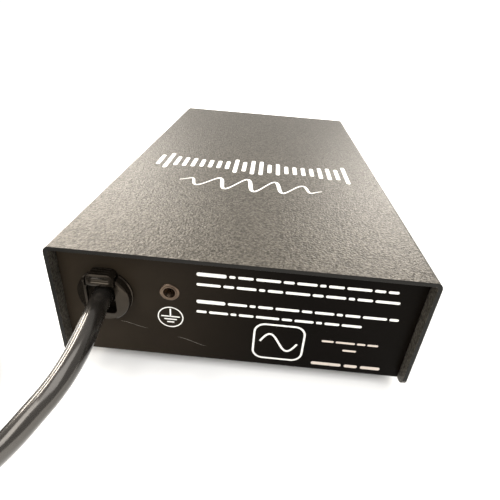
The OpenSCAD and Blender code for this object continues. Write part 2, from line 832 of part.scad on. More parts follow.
module level_pot() color("#9aa0a3") at_front(level_x) difference() {
    union() {
        translate([0, 0, -9.5]) cylinder(r = 8.2, h = 9.48);
        translate([-6, -13, -3.2]) cube([12, 6, 1.6]);
        translate([0, 0, -1]) cylinder(r = pot_thread_r, h = 6.5);
    }
    translate([0, 0, -8]) cylinder(r = 3.05, h = 20);
}

module level_nut() color("#c9c9c9") at_front(level_x) translate([0, 0, sheet_t + 0.02]) {
    hex_nut(10, pot_thread_r + 0.05, 2.2);
}

module level_shaft() color("#cfcfcf") at_front(level_x) {
    translate([0, 0, -7]) cylinder(r = 3, h = 7 + sheet_t + knob_reach - 3);
}

module level_knob() color("#171717") at_front(level_x) translate([0, 0, sheet_t + 1.2]) difference() {
    tall = knob_reach - 1.2;
    skirt_r = knob_d / 2;
    grip_r = skirt_r - 1.8;
    skirt_h = 3.2;
    bore_r = 3.02;
    nut_r = 6.4;
    nut_h = 3.4;
    rotate_extrude() polygon([[bore_r, nut_h], [nut_r, nut_h], [nut_r, 0], [skirt_r, 0],
        [skirt_r, skirt_h - 0.6], [skirt_r - 0.6, skirt_h], [grip_r, skirt_h], [grip_r, tall - 0.9],
        [grip_r - 0.9, tall], [0, tall], [0, tall - 3], [bore_r, tall - 3]]);
    for (i = [0:17]) {
        rotate(20 * i + 10) translate([grip_r + 0.3, 0, skirt_h + 0.8]) {
            cylinder(r = 0.9, h = tall - skirt_h - 2.6, $fn = 24);
        }
    }
    // Pointer groove from the middle of the face to its top edge
    translate([-0.5, 1.5, tall - 0.5]) cube([1, knob_d, 2]);
}

// ---- Toggle switches ----

module toggle_body() difference() {
    union() {
        translate([-4, -6.6, -10]) cube([8, 13.2, 9.98]);
        translate([0, 0, -0.5]) cylinder(r = toggle_thread_r, h = front_in_y - toggle_mouth_y + 0.5);
        for (i = [-1:1]) {
            translate([-1, 4.7 * i - 0.4, -14]) cube([2, 0.8, 5]);
        }
    }
    translate([0, 0, front_in_y - toggle_pivot_y - 4]) cylinder(r = 2.4, h = 12);
}

module toggle_nut() translate([0, 0, sheet_t + 0.02]) hex_nut(8, toggle_thread_r + 0.05, 2);

// Bat lever at its lower stop, turned about its ball inside the bushing
module toggle_lever(x) translate([x, toggle_pivot_y, row_z]) rotate([90 + toggle_tilt, 0, 0]) {
    sphere(r = 2.3);
    cylinder(r1 = 1.2, r2 = 2, h = toggle_l);
    translate([0, 0, toggle_l]) sphere(r = 2);
}

module lift_switch() color("#8d9194") at_front(lift_x) toggle_body();
module power_switch() color("#8d9194") at_front(power_x) toggle_body();
module lift_switch_nut() color("#c9c9c9") at_front(lift_x) toggle_nut();
module power_switch_nut() color("#c9c9c9") at_front(power_x) toggle_nut();
module lift_lever() color("#d5d5d5") toggle_lever(lift_x);
module power_lever() color("#d5d5d5") toggle_lever(power_x);

// ---- Pilot lamp ----

module lamp_bezel() color("#c9c9c9") at_front(power_x, lamp_up) difference() {
    union() {
        translate([0, 0, sheet_t + 0.02]) cylinder(r1 = 5.1, r2 = 4.4, h = 2.2);
        translate([0, 0, -9]) cylinder(r = lamp_barrel_r, h = 9 + sheet_t + 1);
    }
    translate([0, 0, -12]) cylinder(r = 3.1, h = 20);
}

module lamp_lens() color("#c0261c") at_front(power_x, lamp_up) {
    translate([0, 0, -7]) cylinder(r = 3, h = 7 + sheet_t + 2.6);
    translate([0, 0, sheet_t + 2.6 - eps]) intersection() {
        translate([0, 0, -1.4]) sphere(r = 3.3);
        cylinder(r = 3, h = 4);
    }
}

chassis();
cover();
cover_screws();
rubber_foot(0);  // rubber_foot_1
rubber_foot(1);  // rubber_foot_2
rubber_foot(2);  // rubber_foot_3
rubber_foot(3);  // rubber_foot_4
foot_screws();
strain_relief_body();
strain_relief_clamp();
earth_insert();
earth_tag();
earth_screw();
earth_wire();
mains_wires();
mains_cord();
cord_coil();
cord_tie();
plug_body();
plug_blades();
plug_earth_pin();
transformer_core();
transformer_winding();
transformer_strap();
transformer_screws();
circuit_board();
board_standoffs();
board_screws();
filter_capacitors();
film_capacitors();
resistors();
rectifier_diodes();
fuse();
fuse_clips();
tube_bracket();
tube_bracket_screws();
tube_socket();
tube_envelope();
tube_electrodes();
output_transformer();
input_jack();
input_jack_nut();
output_jack();
output_jack_nut();
outlet_shell();
outlet_insert();
outlet_pins();
outlet_screws();
level_pot();
level_nut();
level_shaft();
level_knob();
lift_switch();
lift_switch_nut();
lift_lever();
power_switch();
power_switch_nut();
power_lever();
lamp_bezel();
lamp_lens();
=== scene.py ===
"""Looks of a direct injection box: a folded steel case with a mains lead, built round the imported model."""

import json
import logging
import math
from dataclasses import dataclass, field
from enum import Enum
from typing import Callable, Iterable, Sequence

import bmesh
import bpy
from mathutils import Matrix, Vector

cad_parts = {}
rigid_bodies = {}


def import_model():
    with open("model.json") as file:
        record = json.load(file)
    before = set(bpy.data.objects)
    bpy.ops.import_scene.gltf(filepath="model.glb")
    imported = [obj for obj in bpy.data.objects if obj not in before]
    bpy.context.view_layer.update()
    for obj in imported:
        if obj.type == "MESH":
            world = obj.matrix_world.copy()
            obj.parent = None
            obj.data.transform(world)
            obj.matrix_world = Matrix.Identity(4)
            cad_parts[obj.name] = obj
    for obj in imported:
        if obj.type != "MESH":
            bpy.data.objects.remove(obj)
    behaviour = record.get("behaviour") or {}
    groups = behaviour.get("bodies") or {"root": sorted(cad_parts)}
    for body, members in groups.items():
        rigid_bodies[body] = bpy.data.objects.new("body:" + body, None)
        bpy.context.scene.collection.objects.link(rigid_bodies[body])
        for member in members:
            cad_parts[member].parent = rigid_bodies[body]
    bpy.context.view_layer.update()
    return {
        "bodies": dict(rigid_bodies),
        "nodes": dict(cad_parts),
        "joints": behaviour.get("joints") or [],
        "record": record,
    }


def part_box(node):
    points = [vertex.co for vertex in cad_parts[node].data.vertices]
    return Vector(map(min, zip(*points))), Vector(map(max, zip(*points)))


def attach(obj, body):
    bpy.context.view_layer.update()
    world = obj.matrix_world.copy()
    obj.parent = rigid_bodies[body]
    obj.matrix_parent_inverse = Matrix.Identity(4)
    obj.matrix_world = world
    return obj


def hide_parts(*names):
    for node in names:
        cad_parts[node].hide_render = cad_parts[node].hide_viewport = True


log = logging.getLogger("direct_box")

MM = 0.001
Colour = tuple[float, float, float]
Triple = tuple[float, float, float]


class Axis(Enum):
    """The three directions of the shared frame."""

    X = (1.0, 0.0, 0.0)
    Y = (0.0, 1.0, 0.0)
    Z = (0.0, 0.0, 1.0)

    @property
    def vector(self) -> Vector:
        """The direction as a vector."""
        return Vector(self.value)


class Body(Enum):
    """The rigid bodies that pieces ride on."""

    ROOT = "root"
    LEVEL = "level_control"


# ---------------------------------------------------------------- modelling


def clear_selection() -> None:
    """Deselect every object, so that an operator acts only on what is chosen next."""
    for thing in bpy.context.scene.objects:
        thing.select_set(False)


def choose(thing: bpy.types.Object) -> None:
    """Make one object the only selected one, and the active one.

    Args:
        thing: The object that the next operators act on.
    """
    clear_selection()
    thing.select_set(True)
    bpy.context.view_layer.objects.active = thing


def settle(thing: bpy.types.Object) -> bpy.types.Object:
    """Put the object's place, turn and scale into its mesh.

    Args:
        thing: The object to settle.

    Returns:
        The same object, at the origin, unturned and unscaled.
    """
    choose(thing)
    bpy.ops.object.transform_apply(location=True, rotation=True, scale=True)
    return thing


def new_box(name: str, low: Sequence[float], high: Sequence[float]) -> bpy.types.Object:
    """Add a box between two corners.

    Args:
        name: The piece's name.
        low: Lowest corner, in metres.
        high: Highest corner, in metres.

    Returns:
        The settled box.
    """
    clear_selection()
    centre = (Vector(low) + Vector(high)) / 2
    bpy.ops.mesh.primitive_cube_add(size=1, location=centre)
    box = bpy.context.active_object
    box.name = name
    box.scale = Vector(high) - Vector(low)
    return settle(box)


def new_rod(
    name: str, centre: Sequence[float], radius: float, length: float, along: Axis = Axis.Z, sides: int = 48
) -> bpy.types.Object:
    """Add a round rod.

    Args:
        name: The piece's name.
        centre: The rod's middle, in metres.
        radius: Its radius.
        length: Its length.
        along: The direction that it runs in.
        sides: Number of facets round it.

    Returns:
        The settled rod.
    """
    clear_selection()
    turn = Vector((0, 0, 1)).rotation_difference(along.vector)
    bpy.ops.mesh.primitive_cylinder_add(
        vertices=sides, radius=radius, depth=length, location=centre, rotation=turn.to_euler()
    )
    rod = bpy.context.active_object
    rod.name = name
    return settle(rod)


def new_turning(
    name: str, profile: Sequence[tuple[float, float]], centre: Sequence[float], along: Vector, steps: int = 64
) -> bpy.types.Object:
    """Spin a closed or axis-to-axis outline into a turned piece.

    Args:
        name: The piece's name.
        profile: Points (radius, height) in metres, in order.
        centre: Where radius 0 and height 0 lie.
        along: The direction of growing height.
        steps: Number of facets round the piece.

    Returns:
        The settled piece, closed, with its faces outwards.
    """
    clear_selection()
    bpy.ops.mesh.primitive_plane_add(size=0.01)
    piece = bpy.context.active_object
    piece.name = name
    bpy.ops.object.mode_set(mode="EDIT")
    bpy.ops.mesh.delete(type="VERT")
    shape = bmesh.from_edit_mesh(piece.data)
    corners = [shape.verts.new((radius, 0, height)) for radius, height in profile]
    for first, second in zip(corners, corners[1:]):
        shape.edges.new((first, second))
    bmesh.update_edit_mesh(piece.data)
    bpy.ops.mesh.select_all(action="SELECT")
    bpy.ops.mesh.spin(steps=steps, angle=math.tau, center=(0, 0, 0), axis=(0, 0, 1))
    bpy.ops.mesh.select_all(action="SELECT")
    bpy.ops.mesh.remove_doubles(threshold=1e-6)
    bpy.ops.mesh.normals_make_consistent(inside=False)
    bpy.ops.object.mode_set(mode="OBJECT")
    piece.rotation_mode = "QUATERNION"
    piece.rotation_quaternion = Vector((0, 0, 1)).rotation_difference(along)
    piece.location = centre
    return settle(piece)


def edit(thing: bpy.types.Object, mode: str, chosen: Callable[..., bool]) -> bmesh.types.BMesh:
    """Enter edit mode and select by place.

    Args:
        thing: The object to edit.
        mode: VERT, EDGE or FACE.
        chosen: Test that says whether an element is selected.

    Returns:
        The mesh in edit, for reading.
    """
    choose(thing)
    bpy.ops.object.mode_set(mode="EDIT")
    bpy.ops.mesh.select_mode(type=mode)
    bpy.ops.mesh.select_all(action="DESELECT")
    shape = bmesh.from_edit_mesh(thing.data)
    elements = {"VERT": shape.verts, "EDGE": shape.edges, "FACE": shape.faces}[mode]
    for element in elements:
        element.select_set(bool(chosen(element)))
    shape.select_flush_mode()
    bmesh.update_edit_mesh(thing.data)
    return shape


def leave_edit() -> None:
    """Go back to object mode."""
    bpy.ops.object.mode_set(mode="OBJECT")


def middle(edge: bmesh.types.BMEdge) -> Vector:
    """The middle of an edge."""
    return (edge.verts[0].co + edge.verts[1].co) / 2


def apply_modifier(thing: bpy.types.Object, kind: str, **settings: object) -> None:
    """Add a modifier and apply it at once.

    Args:
        thing: The object that gets it.
        kind: The modifier's type.
        settings: Its values.
    """
    choose(thing)
    modifier = thing.modifiers.new(kind.lower(), kind)
    for key, value in settings.items():
        setattr(modifier, key, value)
    bpy.ops.object.modifier_apply(modifier=modifier.name)


def soften(thing: bpy.types.Object, width: float, segments: int = 3, angle: float = 35) -> None:
    """Round the sharp edges of a piece.

    Args:
        thing: The piece.
        width: Width of the rounding.
        segments: Facets across it.
        angle: Edges sharper than this, in degrees, are rounded.
    """
    apply_modifier(
        thing, "BEVEL", width=width, segments=segments, limit_method="ANGLE",
        angle_limit=math.radians(angle), harden_normals=False,
    )
    choose(thing)
    bpy.ops.object.shade_smooth_by_angle(angle=math.radians(40))


def cut(thing: bpy.types.Object, cutters: Iterable[bpy.types.Object]) -> None:
    """Cut other solids out of a piece, and remove them.

    Args:
        thing: The piece that is cut.
        cutters: The solids to take away.
    """
    for cutter in cutters:
        apply_modifier(thing, "BOOLEAN", operation="DIFFERENCE", object=cutter, solver="EXACT")
        bpy.data.objects.remove(cutter)


def fuse(thing: bpy.types.Object, others: Iterable[bpy.types.Object]) -> None:
    """Unite other solids with a piece into one skin.

    Args:
        thing: The piece that grows.
        others: The solids that it takes in.
    """
    for other in others:
        apply_modifier(thing, "BOOLEAN", operation="UNION", object=other, solver="EXACT")
        bpy.data.objects.remove(other)


def join(name: str, parts: Sequence[bpy.types.Object]) -> bpy.types.Object:
    """Join separate solids into one object.

    Args:
        name: The joined piece's name.
        parts: The solids.

    Returns:
        The joined piece.
    """
    clear_selection()
    for part in parts:
        part.select_set(True)
    bpy.context.view_layer.objects.active = parts[0]
    bpy.ops.object.join()
    whole = bpy.context.active_object
    whole.name = name
    return whole


def copy_of(
    thing: bpy.types.Object, move: Sequence[float], stretch: Sequence[float] = (1, 1, 1)
) -> bpy.types.Object:
    """Copy a piece with its own mesh, stretched about the origin and then moved.

    Args:
        thing: The piece to copy.
        move: How far the copy goes.
        stretch: Its scale along each axis.

    Returns:
        The settled copy.
    """
    twin = thing.copy()
    twin.data = thing.data.copy()
    bpy.context.collection.objects.link(twin)
    twin.scale = stretch
    twin.location = move
    return settle(twin)


def refined(node_name: str, name: str, width: float, segments: int = 2) -> bpy.types.Object:
    """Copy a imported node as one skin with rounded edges.

    Args:
        node_name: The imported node.
        name: The new piece's name.
        width: Width of the rounding.
        segments: Facets across it.

    Returns:
        The new piece.
    """
    node = bpy.data.objects[node_name]
    twin = node.copy()
    twin.data = node.data.copy()
    twin.name = name
    bpy.context.scene.collection.objects.link(twin)
    choose(twin)
    bpy.ops.object.mode_set(mode="EDIT")
    bpy.ops.mesh.select_all(action="SELECT")
    bpy.ops.mesh.remove_doubles(threshold=2e-6)
    bpy.ops.mesh.dissolve_limited(angle_limit=math.radians(1))
    leave_edit()
    soften(twin, width, segments)
    return twin


@dataclass
class InkPen:
    """Draws thin ink in a flat face's own plane, and lays it on the face."""

    origin: Vector
    right: Vector
    up: Vector
    rise: float = 0.00006
    strokes: list[bpy.types.Object] = field(default_factory=list)

    def dash(self, start: Sequence[float], end: Sequence[float], width: float) -> None:
        """Draw a straight line with round ends.

        Args:
            start: First end, right and up from the origin.
            end: Other end.
            width: Width of the line.
        """
        sides = 16
        clear_selection()
        bpy.ops.mesh.primitive_cylinder_add(
            vertices=sides, radius=width / 2, depth=self.rise, rotation=(0, 0, math.pi / sides)
        )
        line = settle(bpy.context.active_object)
        way = Vector((end[0] - start[0], end[1] - start[1], 0))
        edit(line, "VERT", lambda vert: vert.co.x > 0)
        bpy.ops.transform.translate(value=(way.length, 0, 0))
        leave_edit()
        line.location = (start[0], start[1], 0)
        line.rotation_euler = (0, 0, math.atan2(way.y, way.x))
        self.strokes.append(settle(line))

    def sweep(
        self, points: Sequence[tuple[float, float]], widths: Sequence[float], closed: bool = False
    ) -> None:
        """Draw a line along points, as wide at each as asked.

        Args:
            points: Places right and up from the origin.
            widths: Width of the line at each.
            closed: Whether the line runs back to its start.
        """
        broad = max(widths)
        data = bpy.data.curves.new("stroke", "CURVE")
        data.dimensions = "3D"
        data.bevel_depth = broad / 2
        data.bevel_resolution = 2
        data.use_fill_caps = True
        spline = data.splines.new("POLY")
        spline.points.add(len(points) - 1)
        spline.use_cyclic_u = closed
        for knot, point, width in zip(spline.points, points, widths):
            knot.co = (point[0], point[1], 0, 1)
            knot.radius = width / broad
        line = bpy.data.objects.new("stroke", data)
        bpy.context.scene.collection.objects.link(line)
        choose(line)
        bpy.ops.object.convert(target="MESH")
        line = bpy.context.active_object
        line.scale = (1, 1, self.rise / broad)
        settle(line)
        bpy.ops.object.mode_set(mode="EDIT")
        bpy.ops.mesh.select_all(action="SELECT")
        bpy.ops.mesh.remove_doubles(threshold=1e-7)
        bpy.ops.mesh.normals_make_consistent(inside=False)
        leave_edit()
        self.strokes.append(line)

    def ring(
        self, centre: Sequence[float], radius: float, width: float, start_deg: float = 0, arc_deg: float = 360
    ) -> None:
        """Draw a circle, or part of one.

        Args:
            centre: Its middle.
            radius: Radius to the middle of the line.
            width: Width of the line.
            start_deg: Where the arc starts.
            arc_deg: How far it goes.
        """
        whole = arc_deg >= 360
        steps = 64 if whole else max(8, round(arc_deg / 8))
        angles = [math.radians(start_deg + arc_deg * k / steps) for k in range(steps if whole else steps + 1)]
        points = [(centre[0] + radius * math.cos(a), centre[1] + radius * math.sin(a)) for a in angles]
        self.sweep(points, [width] * len(points), whole)

    def number(self, value: int, centre: Sequence[float], size: float) -> None:
        """Draw a dial number.

        Args:
            value: The number.
            centre: Its middle.
            size: Height of the type.
        """
        data = bpy.data.curves.new("number", "FONT")
        data.body = str(value)
        data.size = size
        data.align_x, data.align_y = "CENTER", "CENTER"
        data.extrude = self.rise / 2
        sign = bpy.data.objects.new("number", data)
        bpy.context.scene.collection.objects.link(sign)
        choose(sign)
        bpy.ops.object.convert(target="MESH")
        sign = bpy.context.active_object
        sign.location = (centre[0], centre[1], 0)
        settle(sign)
        bpy.ops.object.mode_set(mode="EDIT")
        bpy.ops.mesh.select_all(action="SELECT")
        bpy.ops.mesh.remove_doubles(threshold=1e-6)
        leave_edit()
        self.strokes.append(sign)

    def finish(self, name: str) -> bpy.types.Object:
        """Join the strokes into one piece and lay it on the face.

        Args:
            name: The piece's name.

        Returns:
            The laid piece.
        """
        piece = join(name, self.strokes)
        self.strokes = []
        axes = Matrix((self.right, self.up, self.right.cross(self.up))).transposed()
        piece.matrix_world = Matrix.Translation(self.origin) @ axes.to_4x4()
        return settle(piece)


# ---------------------------------------------------------------- finishes


@dataclass
class Sketch:
    """A material being drawn: its nodes, and short ways to add them."""

    name: str
    material: bpy.types.Material = field(init=False)

    def __post_init__(self) -> None:
        """Start an empty node tree with a Principled shader."""
        self.material = bpy.data.materials.new(self.name)
        self.material.use_nodes = True
        self.tree.nodes.clear()
        self.shader = self.add("ShaderNodeBsdfPrincipled")
        output = self.add("ShaderNodeOutputMaterial")
        self.link(self.shader, "BSDF", output, "Surface")
        self.place = self.add("ShaderNodeTexCoord")

    @property
    def tree(self) -> bpy.types.NodeTree:
        """The material's node tree."""
        return self.material.node_tree

    def add(self, kind: str, **settings: object) -> bpy.types.Node:
        """Add a node.

        Args:
            kind: The node's type.
            settings: Properties of the node, or values of its inputs, with _ for a space.

        Returns:
            The new node.
        """
        node = self.tree.nodes.new(kind)
        for key, value in settings.items():
            socket = next((s for s in node.inputs if s.name.replace(" ", "_") == key and s.enabled), None)
            if socket is not None:
                socket.default_value = value
            else:
                setattr(node, key, value)
        return node

    def link(self, source: bpy.types.Node, out: str, target: bpy.types.Node, into: str) -> None:
        """Join an output to an input by their names."""
        self.tree.links.new(source.outputs[out], target.inputs[into])

    def spread(self, stretch: Triple) -> bpy.types.Node:
        """Object coordinates stretched along each axis.

        Args:
            stretch: Scale along X, Y and Z.

        Returns:
            The mapping node.
        """
        mapping = self.add("ShaderNodeMapping", Scale=stretch)
        self.link(self.place, "Object", mapping, "Vector")
        return mapping

    def noise(
        self, scale: float, detail: float = 3, rough: float = 0.5, stretch: Triple = (1, 1, 1)
    ) -> bpy.types.Node:
        """Noise on Object coordinates.

        Args:
            scale: Features per metre.
            detail: Octaves.
            rough: Strength of the finer octaves.
            stretch: Scale along X, Y and Z.

        Returns:
            The noise node.
        """
        texture = self.add("ShaderNodeTexNoise", Scale=scale, Detail=detail, Roughness=rough)
        self.link(self.spread(stretch), "Vector", texture, "Vector")
        return texture

    def cells(self, scale: float, feature: str = "F1", stretch: Triple = (1, 1, 1)) -> bpy.types.Node:
        """Voronoi cells on Object coordinates.

        Args:
            scale: Cells per metre.
            feature: Which distance is read.
            stretch: Scale along X, Y and Z.

        Returns:
            The Voronoi node.
        """
        texture = self.add("ShaderNodeTexVoronoi", feature=feature, Scale=scale)
        self.link(self.spread(stretch), "Vector", texture, "Vector")
        return texture

    def steps(
        self, source: bpy.types.Node, out: str, stops: Sequence[tuple[float, Colour]]
    ) -> bpy.types.Node:
        """A colour ramp.

        Args:
            source: Node that is read.
            out: Its output's name.
            stops: Places from 0 to 1 with their colours.

        Returns:
            The ramp node.
        """
        ramp = self.add("ShaderNodeValToRGB")
        marks = ramp.color_ramp.elements
        while len(marks) < len(stops):
            marks.new(0.5)
        for mark, (position, colour) in zip(marks, stops):
            mark.position = position
            mark.color = (*colour, 1)
        self.link(source, out, ramp, "Fac")
        return ramp

    def range(self, source: bpy.types.Node, out: str, low: float, high: float) -> bpy.types.Node:
        """Stretch a value that runs from 0.3 to 0.7 to a new range.

        Args:
            source: Node that is read.
            out: Its output's name.
            low: Value at 0.3.
            high: Value at 0.7.

        Returns:
            The map node.
        """
        mapped = self.add("ShaderNodeMapRange", From_Min=0.3, From_Max=0.7, To_Min=low, To_Max=high)
        self.link(source, out, mapped, "Value")
        return mapped

    def bump(self, layers: Sequence[tuple[bpy.types.Node, str, float]]) -> None:
        """Stack height layers into the shader's normal.

        Args:
            layers: Node, output name and height in metres of each layer.
        """
        before = None
        for source, out, height in layers:
            bump = self.add("ShaderNodeBump", Strength=1.0, Distance=height)
            self.link(source, out, bump, "Height")
            if before is not None:
                self.link(before, "Normal", bump, "Normal")
            before = bump
        self.link(before, "Normal", self.shader, "Normal")

    def base(self, **values: object) -> None:
        """Set constant values on the shader's own sockets, with _ for a space."""
        for key, value in values.items():
            self.shader.inputs[key.replace("_", " ")].default_value = value


@dataclass(frozen=True)
class PowderCoat:
    """Black powder coat with a fine, irregular leather grain."""

    name: str
    dark: Colour
    light: Colour
    grain_per_m: float = 1080
    height: float = 0.00025
    specular: float = 0.42
    tint: Colour = (1.0, 0.88, 0.74)
    roughness: float = 0.4

    def make(self) -> bpy.types.Material:
        """Build the material."""
        sketch = Sketch(self.name)
        grain = sketch.noise(self.grain_per_m, 3, 0.55)
        pits = sketch.cells(self.grain_per_m * 1.2, "SMOOTH_F1")
        colour = sketch.steps(grain, "Fac", [(0.38, self.dark), (0.64, self.light)])
        sketch.link(colour, "Color", sketch.shader, "Base Color")
        rough = sketch.range(grain, "Fac", self.roughness + 0.05, self.roughness - 0.04)
        sketch.link(rough, "Result", sketch.shader, "Roughness")
        sketch.base(Specular_IOR_Level=self.specular, Specular_Tint=(*self.tint, 1))
        sketch.bump([(grain, "Fac", self.height), (pits, "Distance", self.height * 0.6)])
        return sketch.material


@dataclass(frozen=True)
class Enamel:
    """Smooth satin enamel with a faint peel, and painted light that brightens its colour towards +X."""

    name: str
    colour: Colour
    haze: Colour
    roughness: float = 0.34
    specular: float = 0.03
    clear_x: float = -0.03
    hazy_x: float = 0.072

    def make(self) -> bpy.types.Material:
        """Build the material."""
        sketch = Sketch(self.name)
        cloud = sketch.noise(34, 4, 0.6)
        # Painted light: the base colour brightens towards +X, the side the light comes from, broken up by soft
        # noise.
        side = sketch.add("ShaderNodeSeparateXYZ")
        sketch.link(sketch.place, "Object", side, "Vector")
        across = sketch.add("ShaderNodeMapRange", From_Min=self.clear_x, From_Max=self.hazy_x)
        across.interpolation_type = "SMOOTHSTEP"
        sketch.link(side, "X", across, "Value")
        painted_light_share = sketch.add("ShaderNodeMath", operation="MULTIPLY")
        sketch.link(across, "Result", painted_light_share, "Value")
        strength = sketch.range(cloud, "Fac", 0.75, 1.0)
        sketch.tree.links.new(strength.outputs["Result"], painted_light_share.inputs[1])
        colour = sketch.steps(painted_light_share, "Value", [(0.0, self.colour), (1.0, self.haze)])
        sketch.link(colour, "Color", sketch.shader, "Base Color")
        smear = sketch.noise(90, 5, 0.65, (1, 1, 0.4))
        rough = sketch.range(smear, "Fac", self.roughness - 0.05, self.roughness + 0.09)
        sketch.link(rough, "Result", sketch.shader, "Roughness")
        sketch.base(Specular_IOR_Level=self.specular)
        peel = sketch.noise(520, 2, 0.4)
        sketch.bump([(peel, "Fac", 0.000012)])
        return sketch.material


@dataclass(frozen=True)
class Moulding:
    """Moulded plastic or rubber, glossy to matt, with a soft surface."""

    name: str
    colour: Colour
    roughness: float
    grain_per_m: float = 700
    height: float = 0.00001
    specular: float = 0.5
    coat: float = 0.0
    tint: Colour = (1.0, 1.0, 1.0)

    def make(self) -> bpy.types.Material:
        """Build the material."""
        sketch = Sketch(self.name)
        cloud = sketch.noise(75, 3, 0.5)
        lighter = tuple(min(1.0, c * 1.35 + 0.002) for c in self.colour)
        colour = sketch.steps(cloud, "Fac", [(0.3, self.colour), (0.75, lighter)])
        sketch.link(colour, "Color", sketch.shader, "Base Color")
        rough = sketch.range(cloud, "Fac", self.roughness * 0.85, self.roughness * 1.15)
        sketch.link(rough, "Result", sketch.shader, "Roughness")
        sketch.base(
            Specular_IOR_Level=self.specular, Specular_Tint=(*self.tint, 1),
            Coat_Weight=self.coat, Coat_Roughness=0.08,
        )
        grain = sketch.noise(self.grain_per_m, 3, 0.5)
        sketch.bump([(grain, "Fac", self.height)])
        return sketch.material


@dataclass(frozen=True)
class Metal:
    """Bare or plated metal with drawn lines along one direction and a little tarnish."""

    name: str
    colour: Colour
    tarnish: Colour
    roughness: float
    lines: Triple = (1, 1, 1)
    line_per_m: float = 1800
    height: float = 0.000004

    def make(self) -> bpy.types.Material:
        """Build the material."""
        sketch = Sketch(self.name)
        cloud = sketch.noise(140, 4, 0.6)
        colour = sketch.steps(cloud, "Fac", [(0.38, self.colour), (0.8, self.tarnish)])
        sketch.link(colour, "Color", sketch.shader, "Base Color")
        drawn = sketch.noise(self.line_per_m, 3, 0.6, self.lines)
        rough = sketch.range(drawn, "Fac", self.roughness * 0.75, self.roughness * 1.3)
        sketch.link(rough, "Result", sketch.shader, "Roughness")
        sketch.base(Metallic=1.0)
        sketch.bump([(drawn, "Fac", self.height)])
        return sketch.material


@dataclass(frozen=True)
class Ink:
    """Screen-printed ink, thin at its edges and slightly worn."""

    name: str
    colour: Colour

    def make(self) -> bpy.types.Material:
        """Build the material."""
        sketch = Sketch(self.name)
        wear = sketch.noise(1500, 3, 0.6)
        worn = tuple(c * 0.72 for c in self.colour)
        colour = sketch.steps(wear, "Fac", [(0.25, worn), (0.45, self.colour)])
        sketch.link(colour, "Color", sketch.shader, "Base Color")
        sketch.base(Roughness=0.55)
        sketch.bump([(wear, "Fac", 0.00001)])
        return sketch.material


@dataclass(frozen=True)
class ClearGlass:
    """Clear or tinted glass with a faint waviness."""

    name: str
    colour: Colour
    roughness: float = 0.03
    clear: float = 1.0

    def make(self) -> bpy.types.Material:
        """Build the material."""
        sketch = Sketch(self.name)
        sketch.base(
            Base_Color=(*self.colour, 1), Roughness=self.roughness, Transmission_Weight=self.clear, IOR=1.48
        )
        wave = sketch.noise(120, 2, 0.4)
        sketch.bump([(wave, "Fac", 0.00002)])
        return sketch.material


